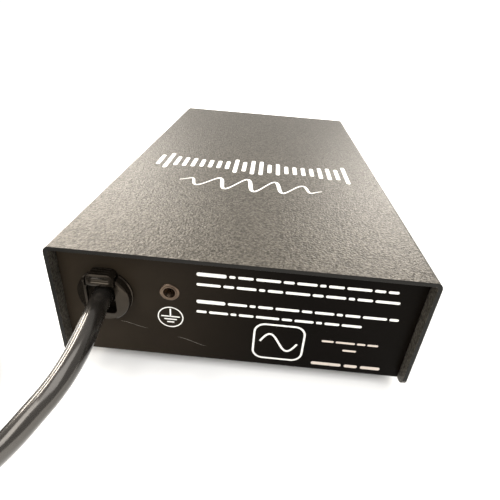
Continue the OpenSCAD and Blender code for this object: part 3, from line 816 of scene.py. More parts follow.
class FinishRack:
    """Every finish of the object, made once and handed out by name."""

    def __init__(self) -> None:
        """Make the finishes."""
        finishes = (
            PowderCoat("textured_black", (0.008, 0.007, 0.0052), (0.075, 0.068, 0.055)),
            # Painted shade: a darker, duller copy of the coat, for the cover's end faces.
            Moulding("cut_edge", (0.006, 0.0055, 0.0045), 0.5, 900, 0.00003, 0.15),
            # The panel's second colour is painted light, reached towards +X.
            Enamel("panel_black", (0.0022, 0.0015, 0.0009), (0.027, 0.0205, 0.014)),
            Moulding("relief_nylon", (0.005, 0.0038, 0.0026), 0.12, 420, 0.00003, 0.32, tint=(1.0, 0.84, 0.66)),
            Moulding("cord_vinyl", (0.0085, 0.0076, 0.0066), 0.26, 160, 8e-6, 0.7, 0.5, (1.0, 0.92, 0.82)),
            Moulding("plug_vinyl", (0.011, 0.011, 0.011), 0.38, 900, 0.00003),
            Moulding("foot_rubber", (0.012, 0.012, 0.012), 0.62, 1300, 0.00004, 0.3),
            Moulding("tie_plastic", (0.02, 0.02, 0.021), 0.6, 1600, 0.00008, 0.3),
            Moulding("jack_plastic", (0.013, 0.013, 0.013), 0.4, 1000, 0.00002),
            Moulding("insert_plastic", (0.01, 0.01, 0.01), 0.45, 1000, 0.00002),
            Moulding("knob_plastic", (0.009, 0.009, 0.009), 0.25, 900, 0.000012, 0.5, 0.2),
            Moulding("wire_insulation", (0.2, 0.08, 0.03), 0.35),
            Moulding("earth_insulation", (0.16, 0.34, 0.05), 0.35),
            Moulding("winding_wrap", (0.52, 0.3, 0.08), 0.3, 260, 0.00012, 0.5),
            Moulding("board_green", (0.015, 0.12, 0.045), 0.3, 500, 0.00002, 0.5, 0.3),
            Moulding("capacitor_sleeve", (0.012, 0.02, 0.08), 0.22, 300, 0.00002, 0.5, 0.2),
            Moulding("film_red", (0.3, 0.02, 0.012), 0.2, 300, 0.00006, 0.5, 0.3),
            Moulding("resistor_body", (0.45, 0.28, 0.12), 0.35, 300, 0.00003),
            Moulding("diode_black", (0.012, 0.012, 0.012), 0.4, 900, 0.00002),
            Moulding("socket_ceramic", (0.72, 0.68, 0.58), 0.5, 1400, 0.00003),
            Moulding("black_screw", (0.014, 0.014, 0.014), 0.32, 1200, 0.00001, 0.6),
            Moulding("outlet_metal", (0.012, 0.012, 0.012), 0.36, 1500, 0.00003),
            Metal("plated_insert", (0.13, 0.095, 0.07), (0.045, 0.032, 0.024), 0.22),
            Metal("brass_contact", (0.83, 0.66, 0.34), (0.5, 0.36, 0.16), 0.24, (1, 0.08, 1)),
            Metal("zinc_screw", (0.62, 0.62, 0.6), (0.4, 0.4, 0.38), 0.3),
            Metal("zinc_steel", (0.6, 0.6, 0.58), (0.42, 0.42, 0.4), 0.34, (1, 0.05, 1)),
            Metal("core_steel", (0.2, 0.19, 0.18), (0.1, 0.08, 0.06), 0.5, (0.05, 3, 0.05), 1200, 0.00006),
            Metal("electrode_steel", (0.16, 0.16, 0.165), (0.08, 0.08, 0.08), 0.5),
            Metal("screening_can", (0.6, 0.6, 0.61), (0.4, 0.4, 0.4), 0.36, (1, 1, 0.05)),
            Metal("chrome_nut", (0.74, 0.73, 0.71), (0.5, 0.48, 0.45), 0.17),
            Metal("chrome_lever", (0.8, 0.79, 0.78), (0.62, 0.61, 0.6), 0.11),
            Metal("pot_steel", (0.6, 0.6, 0.59), (0.4, 0.39, 0.38), 0.32),
            Metal("switch_steel", (0.55, 0.55, 0.54), (0.38, 0.38, 0.37), 0.34, (1, 0.06, 1)),
            Metal("fuse_glass", (0.75, 0.74, 0.72), (0.5, 0.5, 0.5), 0.15),
            ClearGlass("tube_glass", (0.9, 0.95, 0.95)),
            ClearGlass("lamp_red", (0.75, 0.03, 0.02), 0.12, 0.5),
            Ink("white_ink", (0.8, 0.79, 0.75)),
            Ink("faint_ink", (0.55, 0.48, 0.42)),
            Ink("scuffed_paint", (0.2, 0.18, 0.155)),
        )
        self.made = {finish.name: finish.make() for finish in finishes}

    def give(self, thing: bpy.types.Object, name: str) -> None:
        """Put one finish on every face of a piece.

        Args:
            thing: The piece.
            name: The finish's name.
        """
        material = self.made[name]
        if not thing.material_slots:
            thing.data.materials.append(material)
        for index in range(len(thing.material_slots)):
            thing.material_slots[index].material = material


@dataclass
class Workshop:
    """What every sub-assembly needs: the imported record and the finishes."""

    frame: dict
    rack: FinishRack

    def mount(
        self, thing: bpy.types.Object, body: Body, finish: str, slot: str | None = None,
        stands_for: Sequence[str] = (),
    ) -> None:
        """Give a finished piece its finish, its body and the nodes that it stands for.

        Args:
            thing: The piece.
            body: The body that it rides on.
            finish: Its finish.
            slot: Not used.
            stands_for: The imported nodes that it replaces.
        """
        self.rack.give(thing, finish)
        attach(thing, body.value)
        if stands_for:
            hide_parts(*stands_for)
        log.info("%s: %d faces on %s", thing.name, len(getattr(thing.data, "polygons", ())), body.value)

    def dress_nodes(self) -> None:
        """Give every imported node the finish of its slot."""
        for part in self.frame["record"]["subparts"]:
            node = self.frame["nodes"][part["node"]]
            self.rack.give(node, part["material_slot"])
            log.info("%s: dressed in %s", part["node"], part["material_slot"])


# ---------------------------------------------------------------- camera and light


@dataclass(frozen=True)
class Viewpoint:
    """The camera behind the box, above it and close, slightly rolled."""

    place: Triple = (-0.0052, 0.2448, 0.1298)
    ahead: Triple = (0.0195, -0.8613, -0.5078)
    up: Triple = (0.0937, -0.5041, 0.8586)
    lens_mm: float = 28.06
    sensor_mm: float = 36.0

    def build(self) -> bpy.types.Object:
        """Make the scene's camera.

        Returns:
            The camera.
        """
        data = bpy.data.cameras.new("camera")
        data.lens, data.sensor_width = self.lens_mm, self.sensor_mm
        data.clip_start, data.clip_end = 0.01, 20
        camera = bpy.data.objects.new("camera", data)
        bpy.context.scene.collection.objects.link(camera)
        back = -Vector(self.ahead).normalized()
        right = Vector(self.up).cross(back).normalized()
        turn = Matrix((right, back.cross(right), back)).transposed()
        camera.matrix_world = Matrix.Translation(self.place) @ turn.to_4x4()
        bpy.context.scene.camera = camera
        return camera


@dataclass(frozen=True)
class Lamp:
    """One soft rectangular light."""

    name: str
    place: Triple
    aim: Triple
    width: float
    depth: float
    watts: float
    colour: Colour = (1, 1, 1)

    def build(self) -> None:
        """Make the light."""
        data = bpy.data.lights.new(self.name, "AREA")
        data.shape = "RECTANGLE"
        data.size, data.size_y = self.width, self.depth
        data.energy, data.color = self.watts, self.colour
        lamp = bpy.data.objects.new(self.name, data)
        bpy.context.scene.collection.objects.link(lamp)
        lamp.location = self.place
        lamp.rotation_mode = "QUATERNION"
        lamp.rotation_quaternion = (Vector(self.aim) - Vector(self.place)).to_track_quat("-Z", "Y")


@dataclass(frozen=True)
class Studio:
    """Plain pale floor, soft lamps, and a sky that looks plain white behind the object."""

    floor_size: float = 2.7
    floor_colour: Colour = (0.9, 0.9, 0.895)
    sky: float = 0.62

    def build(self) -> None:
        """Make the floor, the lamps and the sky."""
        clear_selection()
        bpy.ops.mesh.primitive_grid_add(x_subdivisions=4, y_subdivisions=4, size=self.floor_size)
        floor = bpy.context.active_object
        floor.name = "studio_floor"
        sketch = Sketch("floor_paint")
        cloud = sketch.noise(3, 2, 0.5)
        rough = sketch.range(cloud, "Fac", 0.82, 0.9)
        sketch.link(rough, "Result", sketch.shader, "Roughness")
        sketch.base(Base_Color=(*self.floor_colour, 1), Specular_IOR_Level=0.2)
        floor.data.materials.append(sketch.material)
        lamps = (
            Lamp("window_left", (0.86, -1.35, 1.0), (0, 0.05, 0.05), 0.7, 0.9, 25, (1, 0.95, 0.88)),
            Lamp("window_right", (-0.74, -1.35, 1.0), (0, 0.05, 0.05), 0.7, 0.9, 25, (1, 0.96, 0.9)),
            Lamp("streak_low", (1.25, -0.42, 0.5), (0.05, 0.15, 0.03), 1.0, 0.14, 15, (1, 0.93, 0.84)),
            Lamp("streak_high", (1.0, -0.15, 1.0), (0.05, 0.15, 0.03), 1.0, 0.12, 15, (1, 0.95, 0.88)),
            Lamp("key_behind", (0.7, 1.2, 1.0), (0, 0.15, 0.0), 0.9, 0.9, 14, (1, 0.98, 0.95)),
            Lamp("fill_top", (-0.2, 0.6, 1.7), (0, 0, 0), 1.6, 1.6, 24),
        )
        for lamp in lamps:
            lamp.build()
        world = bpy.data.worlds.new("sky")
        world.use_nodes = True
        tree = world.node_tree
        soft = tree.nodes["Background"]
        soft.inputs["Color"].default_value = (1, 0.985, 0.96, 1)
        soft.inputs["Strength"].default_value = self.sky
        plain = tree.nodes.new("ShaderNodeBackground")
        plain.inputs["Color"].default_value = (1, 1, 1, 1)
        plain.inputs["Strength"].default_value = 1.05
        seen = tree.nodes.new("ShaderNodeLightPath")
        choice = tree.nodes.new("ShaderNodeMixShader")
        tree.links.new(seen.outputs["Is Camera Ray"], choice.inputs["Fac"])
        tree.links.new(soft.outputs["Background"], choice.inputs[1])
        tree.links.new(plain.outputs["Background"], choice.inputs[2])
        tree.links.new(choice.outputs["Shader"], tree.nodes["World Output"].inputs["Surface"])
        bpy.context.scene.world = world
        bpy.context.scene.view_settings.view_transform = "Standard"


# ---------------------------------------------------------------- mains lead


@dataclass
class MainsLead:
    """The mains lead: out of the gland, down to the surface, and wound up with its plug."""

    shop: Workshop
    diameter: float = 0.0076
    length: float = 1.72
    coil_centre: tuple[float, float] = (0.145, 0.163)
    coil_middle: float = 0.0456
    entry_deg: float = 112
    turn_deg: float = 320
    shift_deg: float = 40
    points_per_turn: int = 18
    tail: float = 0.034
    tail_in_plug: float = 0.006
    grip_length: float = 0.026
    body_length: float = 0.030
    body_width: float = 0.027
    body_height: float = 0.0226

    # The route from inside the gland to the coil, in metres
    route: tuple[Triple, ...] = (
        (0.051, 0.112, 0.037), (0.051, 0.120, 0.037), (0.051, 0.128, 0.037), (0.0506, 0.136, 0.0368),
        (0.050, 0.144, 0.036), (0.0497, 0.152, 0.0346), (0.0502, 0.160, 0.0326), (0.052, 0.168, 0.030),
        (0.056, 0.175, 0.026), (0.061, 0.181, 0.021), (0.068, 0.186, 0.015), (0.076, 0.190, 0.010),
        (0.085, 0.193, 0.006), (0.095, 0.196, 0.004), (0.104, 0.1995, 0.0038), (0.112, 0.2025, 0.0038),
    )

    @property
    def radius(self) -> float:
        """Half the lead's diameter."""
        return self.diameter / 2

    def layers(self) -> list[tuple[float, float]]:
        """Radius and height of each turn, in the order that the lead fills them."""
        outer, inner = self.coil_middle + self.radius, self.coil_middle - self.radius
        rows = [self.radius + self.diameter * row for row in range(3)]
        return [
            (outer, rows[0]), (inner, rows[0]), (inner, rows[1]),
            (inner, rows[2]), (outer, rows[2]), (outer, rows[1]),
        ]

    def coil_point(self, swept: float) -> Triple:
        """Where the lead is after sweeping an angle round the coil.

        Args:
            swept: Degrees since the lead joined the coil.

        Returns:
            The point, in metres.
        """
        layers = self.layers()
        radius, height = layers[0]
        for index, (next_radius, next_height) in enumerate(layers[1:], start=1):
            share = (swept - self.turn_deg * index + self.shift_deg) / (2 * self.shift_deg)
            ease = (1 - math.cos(math.pi * min(max(share, 0.0), 1.0))) / 2
            radius += (next_radius - layers[index - 1][0]) * ease
            height += (next_height - layers[index - 1][1]) * ease
        angle = math.radians(self.entry_deg - swept)
        return (
            self.coil_centre[0] + radius * math.cos(angle),
            self.coil_centre[1] + radius * math.sin(angle),
            height,
        )

    def tail_way(self) -> tuple[Vector, Vector]:
        """Where the lead leaves the coil, and in which direction."""
        swept = self.turn_deg * len(self.layers())
        angle = math.radians(self.entry_deg - swept)
        return Vector(self.coil_point(swept)), Vector((math.sin(angle), -math.cos(angle), 0))

    def centre_line(self) -> list[Vector]:
        """The whole lead's points, from the gland to inside the plug."""
        total = self.turn_deg * len(self.layers())
        count = round(total / 360 * self.points_per_turn)
        coil = [Vector(self.coil_point(total * k / count)) for k in range(count + 1)]
        start, way = self.tail_way()
        ends = [start + way * self.tail * 0.5, start + way * (self.tail + self.tail_in_plug)]
        return [Vector(p) for p in self.route] + coil + ends

    def draw(self) -> bpy.types.Object:
        """Draw the lead as one curve from the gland to the plug.

        Returns:
            The curve.
        """
        data = bpy.data.curves.new("mains_lead", "CURVE")
        data.dimensions = "3D"
        data.bevel_depth = self.radius
        data.bevel_resolution = 6
        data.resolution_u = 8
        data.use_fill_caps = True
        spline = data.splines.new("BEZIER")
        points = self.centre_line()
        spline.bezier_points.add(len(points) - 1)
        for knot, point in zip(spline.bezier_points, points):
            knot.co = point
            knot.handle_left_type = knot.handle_right_type = "AUTO"
        lead = bpy.data.objects.new("mains_lead", data)
        bpy.context.scene.collection.objects.link(lead)
        self.shop.mount(lead, Body.ROOT, "cord_vinyl", "cord_vinyl", ("mains_cord", "cord_coil"))
        return lead


@dataclass
class LeadFittings:
    """The moulded plug and the strap that holds the coil."""

    shop: Workshop
    lead: MainsLead
    ribs: int = 4
    grooves: int = 5
    strap_width: float = 0.008
    strap_thick: float = 0.0009
    strap_deg: float = -70

    def at_plug(self, thing: bpy.types.Object) -> bpy.types.Object:
        """Lay a piece drawn along Z on the plug's own axis.

        Args:
            thing: The piece.

        Returns:
            The settled piece.
        """
        start, way = self.lead.tail_way()
        up = Vector((0, 0, 1))
        axes = Matrix((up.cross(way), up, way)).transposed()
        thing.matrix_world = Matrix.Translation(start + way * self.lead.tail) @ axes.to_4x4()
        return settle(thing)

    def build_plug(self) -> None:
        """Make the plug's moulding: a ribbed relief cone that flows into a gripped body."""
        lead = self.lead
        grip, body = lead.grip_length, lead.body_length
        outline = [(lead.radius, -0.0002), (0.0048, -0.0002), (0.0052, 0.0003)]
        for rib in range(self.ribs):
            low = 0.0042 + 0.005 * rib
            wide = 0.0053 + 0.0004 * rib
            groove = wide - 0.0007
            outline += [(wide, low), (groove, low + 0.0006), (groove, low + 0.0016), (wide, low + 0.0022)]
        outline += [(0.0072, grip - 0.001), (0.0088, grip + 0.002), (0, grip + 0.002), (0, lead.tail_in_plug)]
        outline += [(lead.radius, lead.tail_in_plug), outline[0]]
        cone = new_turning("cone", outline, (0, 0, 0), Vector((0, 0, 1)), 40)
        half = (lead.body_width / 2, lead.body_height / 2)
        plug = new_box("plug_moulding", (-half[0], -half[1], grip), (half[0], half[1], grip + body))
        edit(plug, "EDGE", lambda edge: abs((edge.verts[0].co - edge.verts[1].co).z) > body / 2)
        bpy.ops.mesh.bevel(offset=0.0075, segments=8, affect="EDGES")
        leave_edit()
        edit(plug, "FACE", lambda face: face.normal.z < -0.9)
        bpy.ops.mesh.bevel(offset=0.004, segments=5, affect="EDGES")
        leave_edit()
        edit(plug, "FACE", lambda face: face.normal.z > 0.9)
        bpy.ops.mesh.bevel(offset=0.0008, segments=2, affect="EDGES")
        leave_edit()
        grooves = []
        for side in (-1, 1):
            for row in range(self.grooves):
                place = (side * (half[0] + 0.0005), 0, grip + 0.0075 + 0.0036 * row)
                grooves.append(new_rod("groove", place, 0.0012, lead.body_height * 0.5, Axis.Y, 20))
        cut(plug, [join("grooves", grooves)])
        fuse(plug, [cone])
        soften(plug, 0.0003, 2)
        self.at_plug(plug)
        self.shop.mount(plug, Body.ROOT, "plug_vinyl", "plug_vinyl", ("plug_body",))

    def build_strap(self) -> None:
        """Make the strap round the coil, with its end lapped over."""
        lead = self.lead
        wide = 2 * lead.diameter + 2 * self.strap_thick
        tall = 3 * lead.diameter + self.strap_thick
        half = self.strap_width / 2
        strap = new_box("coil_strap", (-wide / 2, -half, 0), (wide / 2, half, tall))
        edit(strap, "FACE", lambda face: abs(face.normal.y) > 0.9)
        bpy.ops.mesh.delete(type="FACE")
        leave_edit()
        edit(strap, "EDGE", lambda edge: abs((edge.verts[0].co - edge.verts[1].co).y) > half)
        bpy.ops.mesh.bevel(offset=lead.radius, segments=8, affect="EDGES")
        leave_edit()
        apply_modifier(strap, "SOLIDIFY", thickness=self.strap_thick, offset=-1)
        lap_top = tall + self.strap_thick
        lap = new_box("lap", (-wide * 0.32, -half, tall - 0.0002), (wide * 0.3, half, lap_top))
        strap = join("coil_strap", [strap, lap])
        soften(strap, 0.00025, 2)
        angle = math.radians(self.strap_deg)
        outwards = Vector((math.cos(angle), math.sin(angle), 0))
        centre = Vector((*lead.coil_centre, 0)) + outwards * lead.coil_middle
        strap.matrix_world = Matrix.Translation(centre) @ Matrix.Rotation(angle, 4, "Z")
        settle(strap)
        self.shop.mount(strap, Body.ROOT, "tie_plastic", "tie_plastic", ("cord_tie",))

    def build(self) -> list[bpy.types.Object]:
        """Make the plug and the strap.

        Returns:
            The pieces that lie on the lead.
        """
        self.build_plug()
        self.build_strap()
        return [bpy.data.objects["plug_moulding"], bpy.data.objects["coil_strap"]]


# ---------------------------------------------------------------- case


@dataclass
class Case:
    """The folded cover and the feet that the box stands on."""

    shop: Workshop
    sheet: float = 0.0016
    bend: float = 0.0026
    wall_corner: float = 0.004
    edge: float = 0.0003
    screw_hole: float = 0.0019

    def build_cover(self) -> None:
        """Fold the cover: a top and two walls, with rounded bends, corners and sheet edges."""
        low, high = (Vector(corner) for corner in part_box("cover"))
        shell = new_box("cover_shell", low, high)
        edit(shell, "FACE", lambda face: face.normal.z < -0.5 or abs(face.normal.y) > 0.5)
        bpy.ops.mesh.delete(type="FACE")
        leave_edit()
        near_top = high.z - MM
        edit(
            shell, "EDGE",
            lambda edge: middle(edge).z > near_top and abs(middle(edge).x) > high.x - MM,
        )
        bpy.ops.mesh.bevel(offset=self.bend, segments=8, affect="EDGES")
        leave_edit()
        edit(shell, "VERT", lambda vert: vert.co.z < low.z + MM)
        bpy.ops.mesh.bevel(offset=self.wall_corner, segments=7, affect="VERTICES")
        leave_edit()
        apply_modifier(shell, "SOLIDIFY", thickness=self.sheet, offset=-1)
        screws_low, screws_high = (Vector(corner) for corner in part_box("cover_screws"))
        head = (screws_high.z - screws_low.z) / 2
        level = (screws_high.z + screws_low.z) / 2
        holes = [
            new_rod("hole", (0, y, level), self.screw_hole, 4 * high.x, Axis.X, 32)
            for y in (screws_low.y + head, screws_high.y - head)
        ]
        cut(shell, holes)
        soften(shell, self.edge, 3)
        self.shop.mount(shell, Body.ROOT, "textured_black", "textured_black", ("cover",))
        # Painted shade: the sheet's ends facing along Y get a darker, duller finish, so that they look almost
        # black
        shell.data.materials.append(self.shop.rack.made["cut_edge"])
        edit(shell, "FACE", lambda face: abs(face.normal.y) > 0.95)
        shell.active_material_index = 1
        bpy.ops.object.material_slot_assign()
        leave_edit()

    def build_screws(self) -> None:
        """Round the heads of the cover screws."""
        screws = refined("cover_screws", "cover_screw_heads", 0.0002, 2)
        self.shop.mount(screws, Body.ROOT, "black_screw", "black_screw", ("cover_screws",))

    def build_feet(self) -> None:
        """Turn the four feet, with rounded treads and a recess for the screw."""
        outline = [
            (1.6, 5.0), (1.6, 2.6), (3.4, 2.6), (3.4, 0.5), (3.55, 0.2), (3.9, 0.0), (5.4, 0.0), (5.9, 0.12),
            (6.2, 0.45), (6.35, 1.0), (6.5, 1.2), (6.55, 1.8), (6.8, 2.0), (7.0, 4.5), (6.85, 4.9), (6.6, 5.0),
            (1.6, 5.0),
        ]
        master = new_turning(
            "foot_master", [(r * MM, z * MM) for r, z in outline], (0, 0, 0), Vector((0, 0, 1)), 56
        )
        soften(master, 0.00015, 2)
        for number in range(1, 5):
            low, high = (Vector(corner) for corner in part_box(f"rubber_foot_{number}"))
            foot = copy_of(master, ((low.x + high.x) / 2, (low.y + high.y) / 2, 0))
            foot.name = f"foot_{number}"
            self.shop.mount(foot, Body.ROOT, "foot_rubber", "foot_rubber", (f"rubber_foot_{number}",))
        bpy.data.objects.remove(master)

    def build(self) -> None:
        """Make the cover, its screws and the feet."""
        self.build_cover()
        self.build_screws()
        self.build_feet()


# ---------------------------------------------------------------- mains entry


@dataclass
class MainsEntry:
    """The strain relief that grips the lead, and the threaded earth insert."""

    shop: Workshop
    pocket_half: float = 5.3

    @property
    def centre(self) -> Vector:
        """The middle of the strain relief on the panel's face."""
        low, high = (Vector(corner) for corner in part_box("strain_relief_body"))
        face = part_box("chassis")[1][1]
        return Vector(((low.x + high.x) / 2, face, (low.z + high.z) / 2))

    def block(self, name: str, low: Sequence[float], high: Sequence[float]) -> bpy.types.Object:
        """A box given sideways, outwards and upwards from the relief's middle, in millimetres.

        Args:
            name: The piece's name.
            low: Lowest corner.
            high: Highest corner.

        Returns:
            The box.
        """
        return new_box(name, self.centre + Vector(low) * MM, self.centre + Vector(high) * MM)

    def build_body(self) -> None:
        """Make the thick head, its pocket and side arms, and the barrel behind the panel."""
        head = [
            (0, 0.02), (10.2, 0.02), (10.5, 0.3), (10.5, 1.0), (10.1, 1.25), (10.1, 1.6), (10.4, 1.9),
            (10.35, 4.2), (10.1, 4.75), (9.6, 5.0), (0, 5.0),
        ]
        body = new_turning(
            "relief_moulding", [(r * MM, h * MM) for r, h in head], self.centre, Vector((0, 1, 0)), 96
        )
        fuse(body, [new_rod("barrel", self.centre + Vector((0, -6.5, 0)) * MM, 0.0079, 0.014, Axis.Y, 64)])
        half = self.pocket_half
        pocket = self.block("pocket", (-half, 1.2, -6.2), (half, 14, 6.4))
        edit(pocket, "EDGE", lambda edge: abs((edge.verts[0].co - edge.verts[1].co).y) > 0.01)
        bpy.ops.mesh.bevel(offset=0.0017, segments=6, affect="EDGES")
        leave_edit()
        # The arm towards the box's wall slopes down to its rim; the other one is left proud
        slope = self.block("slope", (half + 0.9, 3.2, -7.5), (12, 12, 7.5))
        centre = self.centre
        edit(slope, "VERT", lambda vert: vert.co.x > centre.x + 0.01 and vert.co.y < centre.y + 0.004)
        bpy.ops.transform.translate(value=(0, -0.0016, 0))
        leave_edit()
        soften(slope, 0.0005, 3)
        chin = self.block("chin", (-half + 0.6, 3.6, -12), (half - 0.6, 12, -6.8))
        soften(chin, 0.0006, 3)
        cut(body, [
            pocket,
            slope,
            chin,
            new_rod("way", self.centre + Vector((0, -4, 0)) * MM, 0.0042, 0.024, Axis.Y, 48),
            self.block("slot", (-3.7, -16, 2.0), (3.7, 4, 9.0)),
            self.block("notch", (-half - 0.5, -0.9, 6.0), (half + 0.5, 12, 13)),
        ])
        soften(body, 0.00055, 4, 40)
        self.shop.mount(body, Body.ROOT, "relief_nylon", "relief_nylon", ("strain_relief_body",))

    def build_clamp(self) -> None:
        """Make the wedge: a stepped head across the pocket's top, and its shank."""
        half = self.pocket_half - 0.2
        bar = self.block("relief_wedge", (-half, 0.1, 6.3), (half, 5.0, 11.1))
        centre = self.centre
        edit(
            bar, "EDGE", lambda edge: abs(middle(edge).x - centre.x) > 0.004 and middle(edge).z > centre.z + 0.01
        )
        bpy.ops.mesh.bevel(offset=0.0024, segments=6, affect="EDGES")
        leave_edit()
        steps = []
        for row in range(3):
            out = 0.75 + 1.5 * row
            step = self.block("step", (-half + 1.6, out, 10.5), (half - 1.6, out + 0.65, 12.5))
            soften(step, 0.0002, 2)
            steps.append(step)
        thumb = new_rod("thumb", self.centre + Vector((0, 6.4, 8.6)) * MM, 0.0019, 0.0066, Axis.X, 32)
        cut(bar, steps + [thumb])
        soften(bar, 0.00065, 4, 30)
        shank = self.block("shank", (-3.4, -12, 4.5), (3.4, 1.0, 7.1))
        lip = self.block("lip", (-half + 0.4, 3.3, 5.7), (half - 0.4, 4.7, 6.7))
        soften(lip, 0.0003, 2)
        fuse(bar, [shank, lip])
        soften(bar, 0.00012, 2, 50)
        self.shop.mount(bar, Body.ROOT, "relief_nylon", "relief_nylon", ("strain_relief_clamp",))

    def build_insert(self) -> None:
        """Turn the earth insert with its rolled lip and the thread inside."""
        low, high = (Vector(corner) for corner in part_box("earth_insert"))
        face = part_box("chassis")[1][1]
        place = Vector(((low.x + high.x) / 2, face, (low.z + high.z) / 2))
        outline = [(3.1, -9.0), (3.1, 0.02), (3.75, 0.02), (3.8, 0.2), (3.6, 0.36), (3.2, 0.4), (2.95, 0.42)]
        outline += [(2.85, 0.6), (2.6, 0.66), (2.3, 0.55), (2.15, 0.25)]
        pitch = 0.8
        for turn in range(10):
            outline += [(2.32, -0.2 - pitch * turn), (2.08, -0.6 - pitch * turn)]
        outline += [(2.15, -9.0), outline[0]]
        metres = [(r * MM, h * MM) for r, h in outline]
        insert = new_turning("earth_bush", metres, place, Vector((0, 1, 0)), 56)
        choose(insert)
        bpy.ops.object.shade_smooth_by_angle(angle=math.radians(40))
        self.shop.mount(insert, Body.ROOT, "plated_insert", "plated_insert", ("earth_insert",))

    def build(self) -> None:
        """Make the strain relief and the insert."""
        self.build_body()
        self.build_clamp()
        self.build_insert()


# ---------------------------------------------------------------- print


@dataclass
class RearPrint:
    """White print on the rear panel: the earth sign, notes as plain dashes, and a wave badge."""

    shop: Workshop
    row_heights: tuple[float, ...] = (48.3, 43.7, 35.7, 30.8)
    row_ends: tuple[float, ...] = (58.0, 59.5, 61.0, 48.0)
    row_start: float = -16.3

    def pen(self) -> InkPen:
        """A pen for the rear face: right is towards -X."""
        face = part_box("chassis")[1][1]
        return InkPen(Vector((0, face, 0)), Vector((-1, 0, 0)), Vector((0, 0, 1)))

    def earth_sign(self) -> None:
        """Draw the protective-earth sign in its circle."""
        pen = self.pen()
        centre = (-0.0266, 0.0265)
        pen.ring(centre, 0.0049, 0.00048)
        pen.dash((centre[0], centre[1] + 0.0040), (centre[0], centre[1] + 0.0004), 0.00055)
        for step, half in enumerate((0.0035, 0.0023, 0.0012)):
            level = centre[1] + 0.0004 - 0.0014 * step
            pen.dash((centre[0] - half, level), (centre[0] + half, level), 0.00055)
        self.shop.mount(pen.finish("earth_sign"), Body.ROOT, "white_ink")

    @staticmethod
    def words(pen: InkPen, start: float, end: float, level: float, size: float, lead_word: bool) -> None:
        """Fill a row with dashes of uneven lengths, as words would fill it.

        Args:
            pen: The pen of the face.
            start: Left end of the row, in millimetres.
            end: Right end of the row.
            level: Height of the row's middle.
            size: Height of a small letter.
            lead_word: Whether the row starts with a heavier dash.
        """
        gap = size * 0.6
        at, count = start, 0
        while at < end - 2 * size:
            length = size * (1.5 + 1.1 * ((count * 7 + round(level)) % 5))
            width = size * 0.75
            if lead_word and count == 0:
                length, width = size * 7.2, size * 1.05
            stop = min(at + length, end)
            pen.dash(((at + width / 2) * MM, level * MM), ((stop - width / 2) * MM, level * MM), width * MM)
            at, count = stop + gap, count + 1

    def notes(self) -> None:
        """Draw the four rows of the notes."""
        for index, (level, end) in enumerate(zip(self.row_heights, self.row_ends)):
            pen = self.pen()
            self.words(pen, self.row_start, end, level, 1.55, index % 2 == 0)
            self.shop.mount(pen.finish(f"note_row_{index + 1}"), Body.ROOT, "white_ink")

    def badge(self) -> None:
        """Draw a plain badge: a rounded frame with a sine wave between two rules."""
        pen = self.pen()
        left, right, low, high = 7.0, 27.0, 9.6, 27.6
        radius = 4.2
        outline = []
        for index, (x, z) in enumerate(((right, high), (left, high), (left, low), (right, low))):
            cx = x - radius if x > left else x + radius
            cz = z - radius if z > low else z + radius
            for step in range(9):
                angle = math.radians(90 * index + 90 * step / 8)
                outline.append(((cx + radius * math.cos(angle)) * MM, (cz + radius * math.sin(angle)) * MM))
        pen.sweep(outline, [0.00085] * len(outline), True)
        span, middle_z = right - left - 5, (low + high) / 2
        wave = [
            ((left + 2.5 + span * k / 40) * MM, (middle_z + 4.2 * math.sin(math.tau * k / 40)) * MM)
            for k in range(41)
        ]
        pen.sweep(wave, [0.0009] * len(wave))
        self.shop.mount(pen.finish("wave_badge"), Body.ROOT, "white_ink")

    def maker_rows(self) -> None:
        """Draw the dashes beside and under the badge."""
        pen = self.pen()
        self.words(pen, 31.5, 60.0, 9.4, 2.1, False)
        self.words(pen, 34.0, 56.5, 21.8, 1.3, False)
        self.words(pen, 43.0, 48.5, 17.8, 1.3, False)
        self.shop.mount(pen.finish("maker_rows"), Body.ROOT, "faint_ink")

    def scratches(self) -> None:
        """Draw two hairline scratches in the enamel."""
        pen = self.pen()
        pen.rise = 0.00002
        for start, end in (((-0.047, 0.0222), (-0.036, 0.0196)), ((-0.024, 0.0165), (-0.012, 0.0128))):
            points = [
                (
                    start[0] + (end[0] - start[0]) * k / 6,
                    start[1] + (end[1] - start[1]) * k / 6 + 0.0002 * math.sin(k),
                )
                for k in range(7)
            ]
            pen.sweep(points, [0.00004, 0.0001, 0.00014, 0.0001, 0.00013, 0.00009, 0.00003])
        self.shop.mount(pen.finish("panel_scratches"), Body.ROOT, "scuffed_paint")

    def build(self) -> None:
        """Draw everything on the rear panel."""
        self.earth_sign()
        self.notes()
        self.badge()
        self.maker_rows()
        self.scratches()


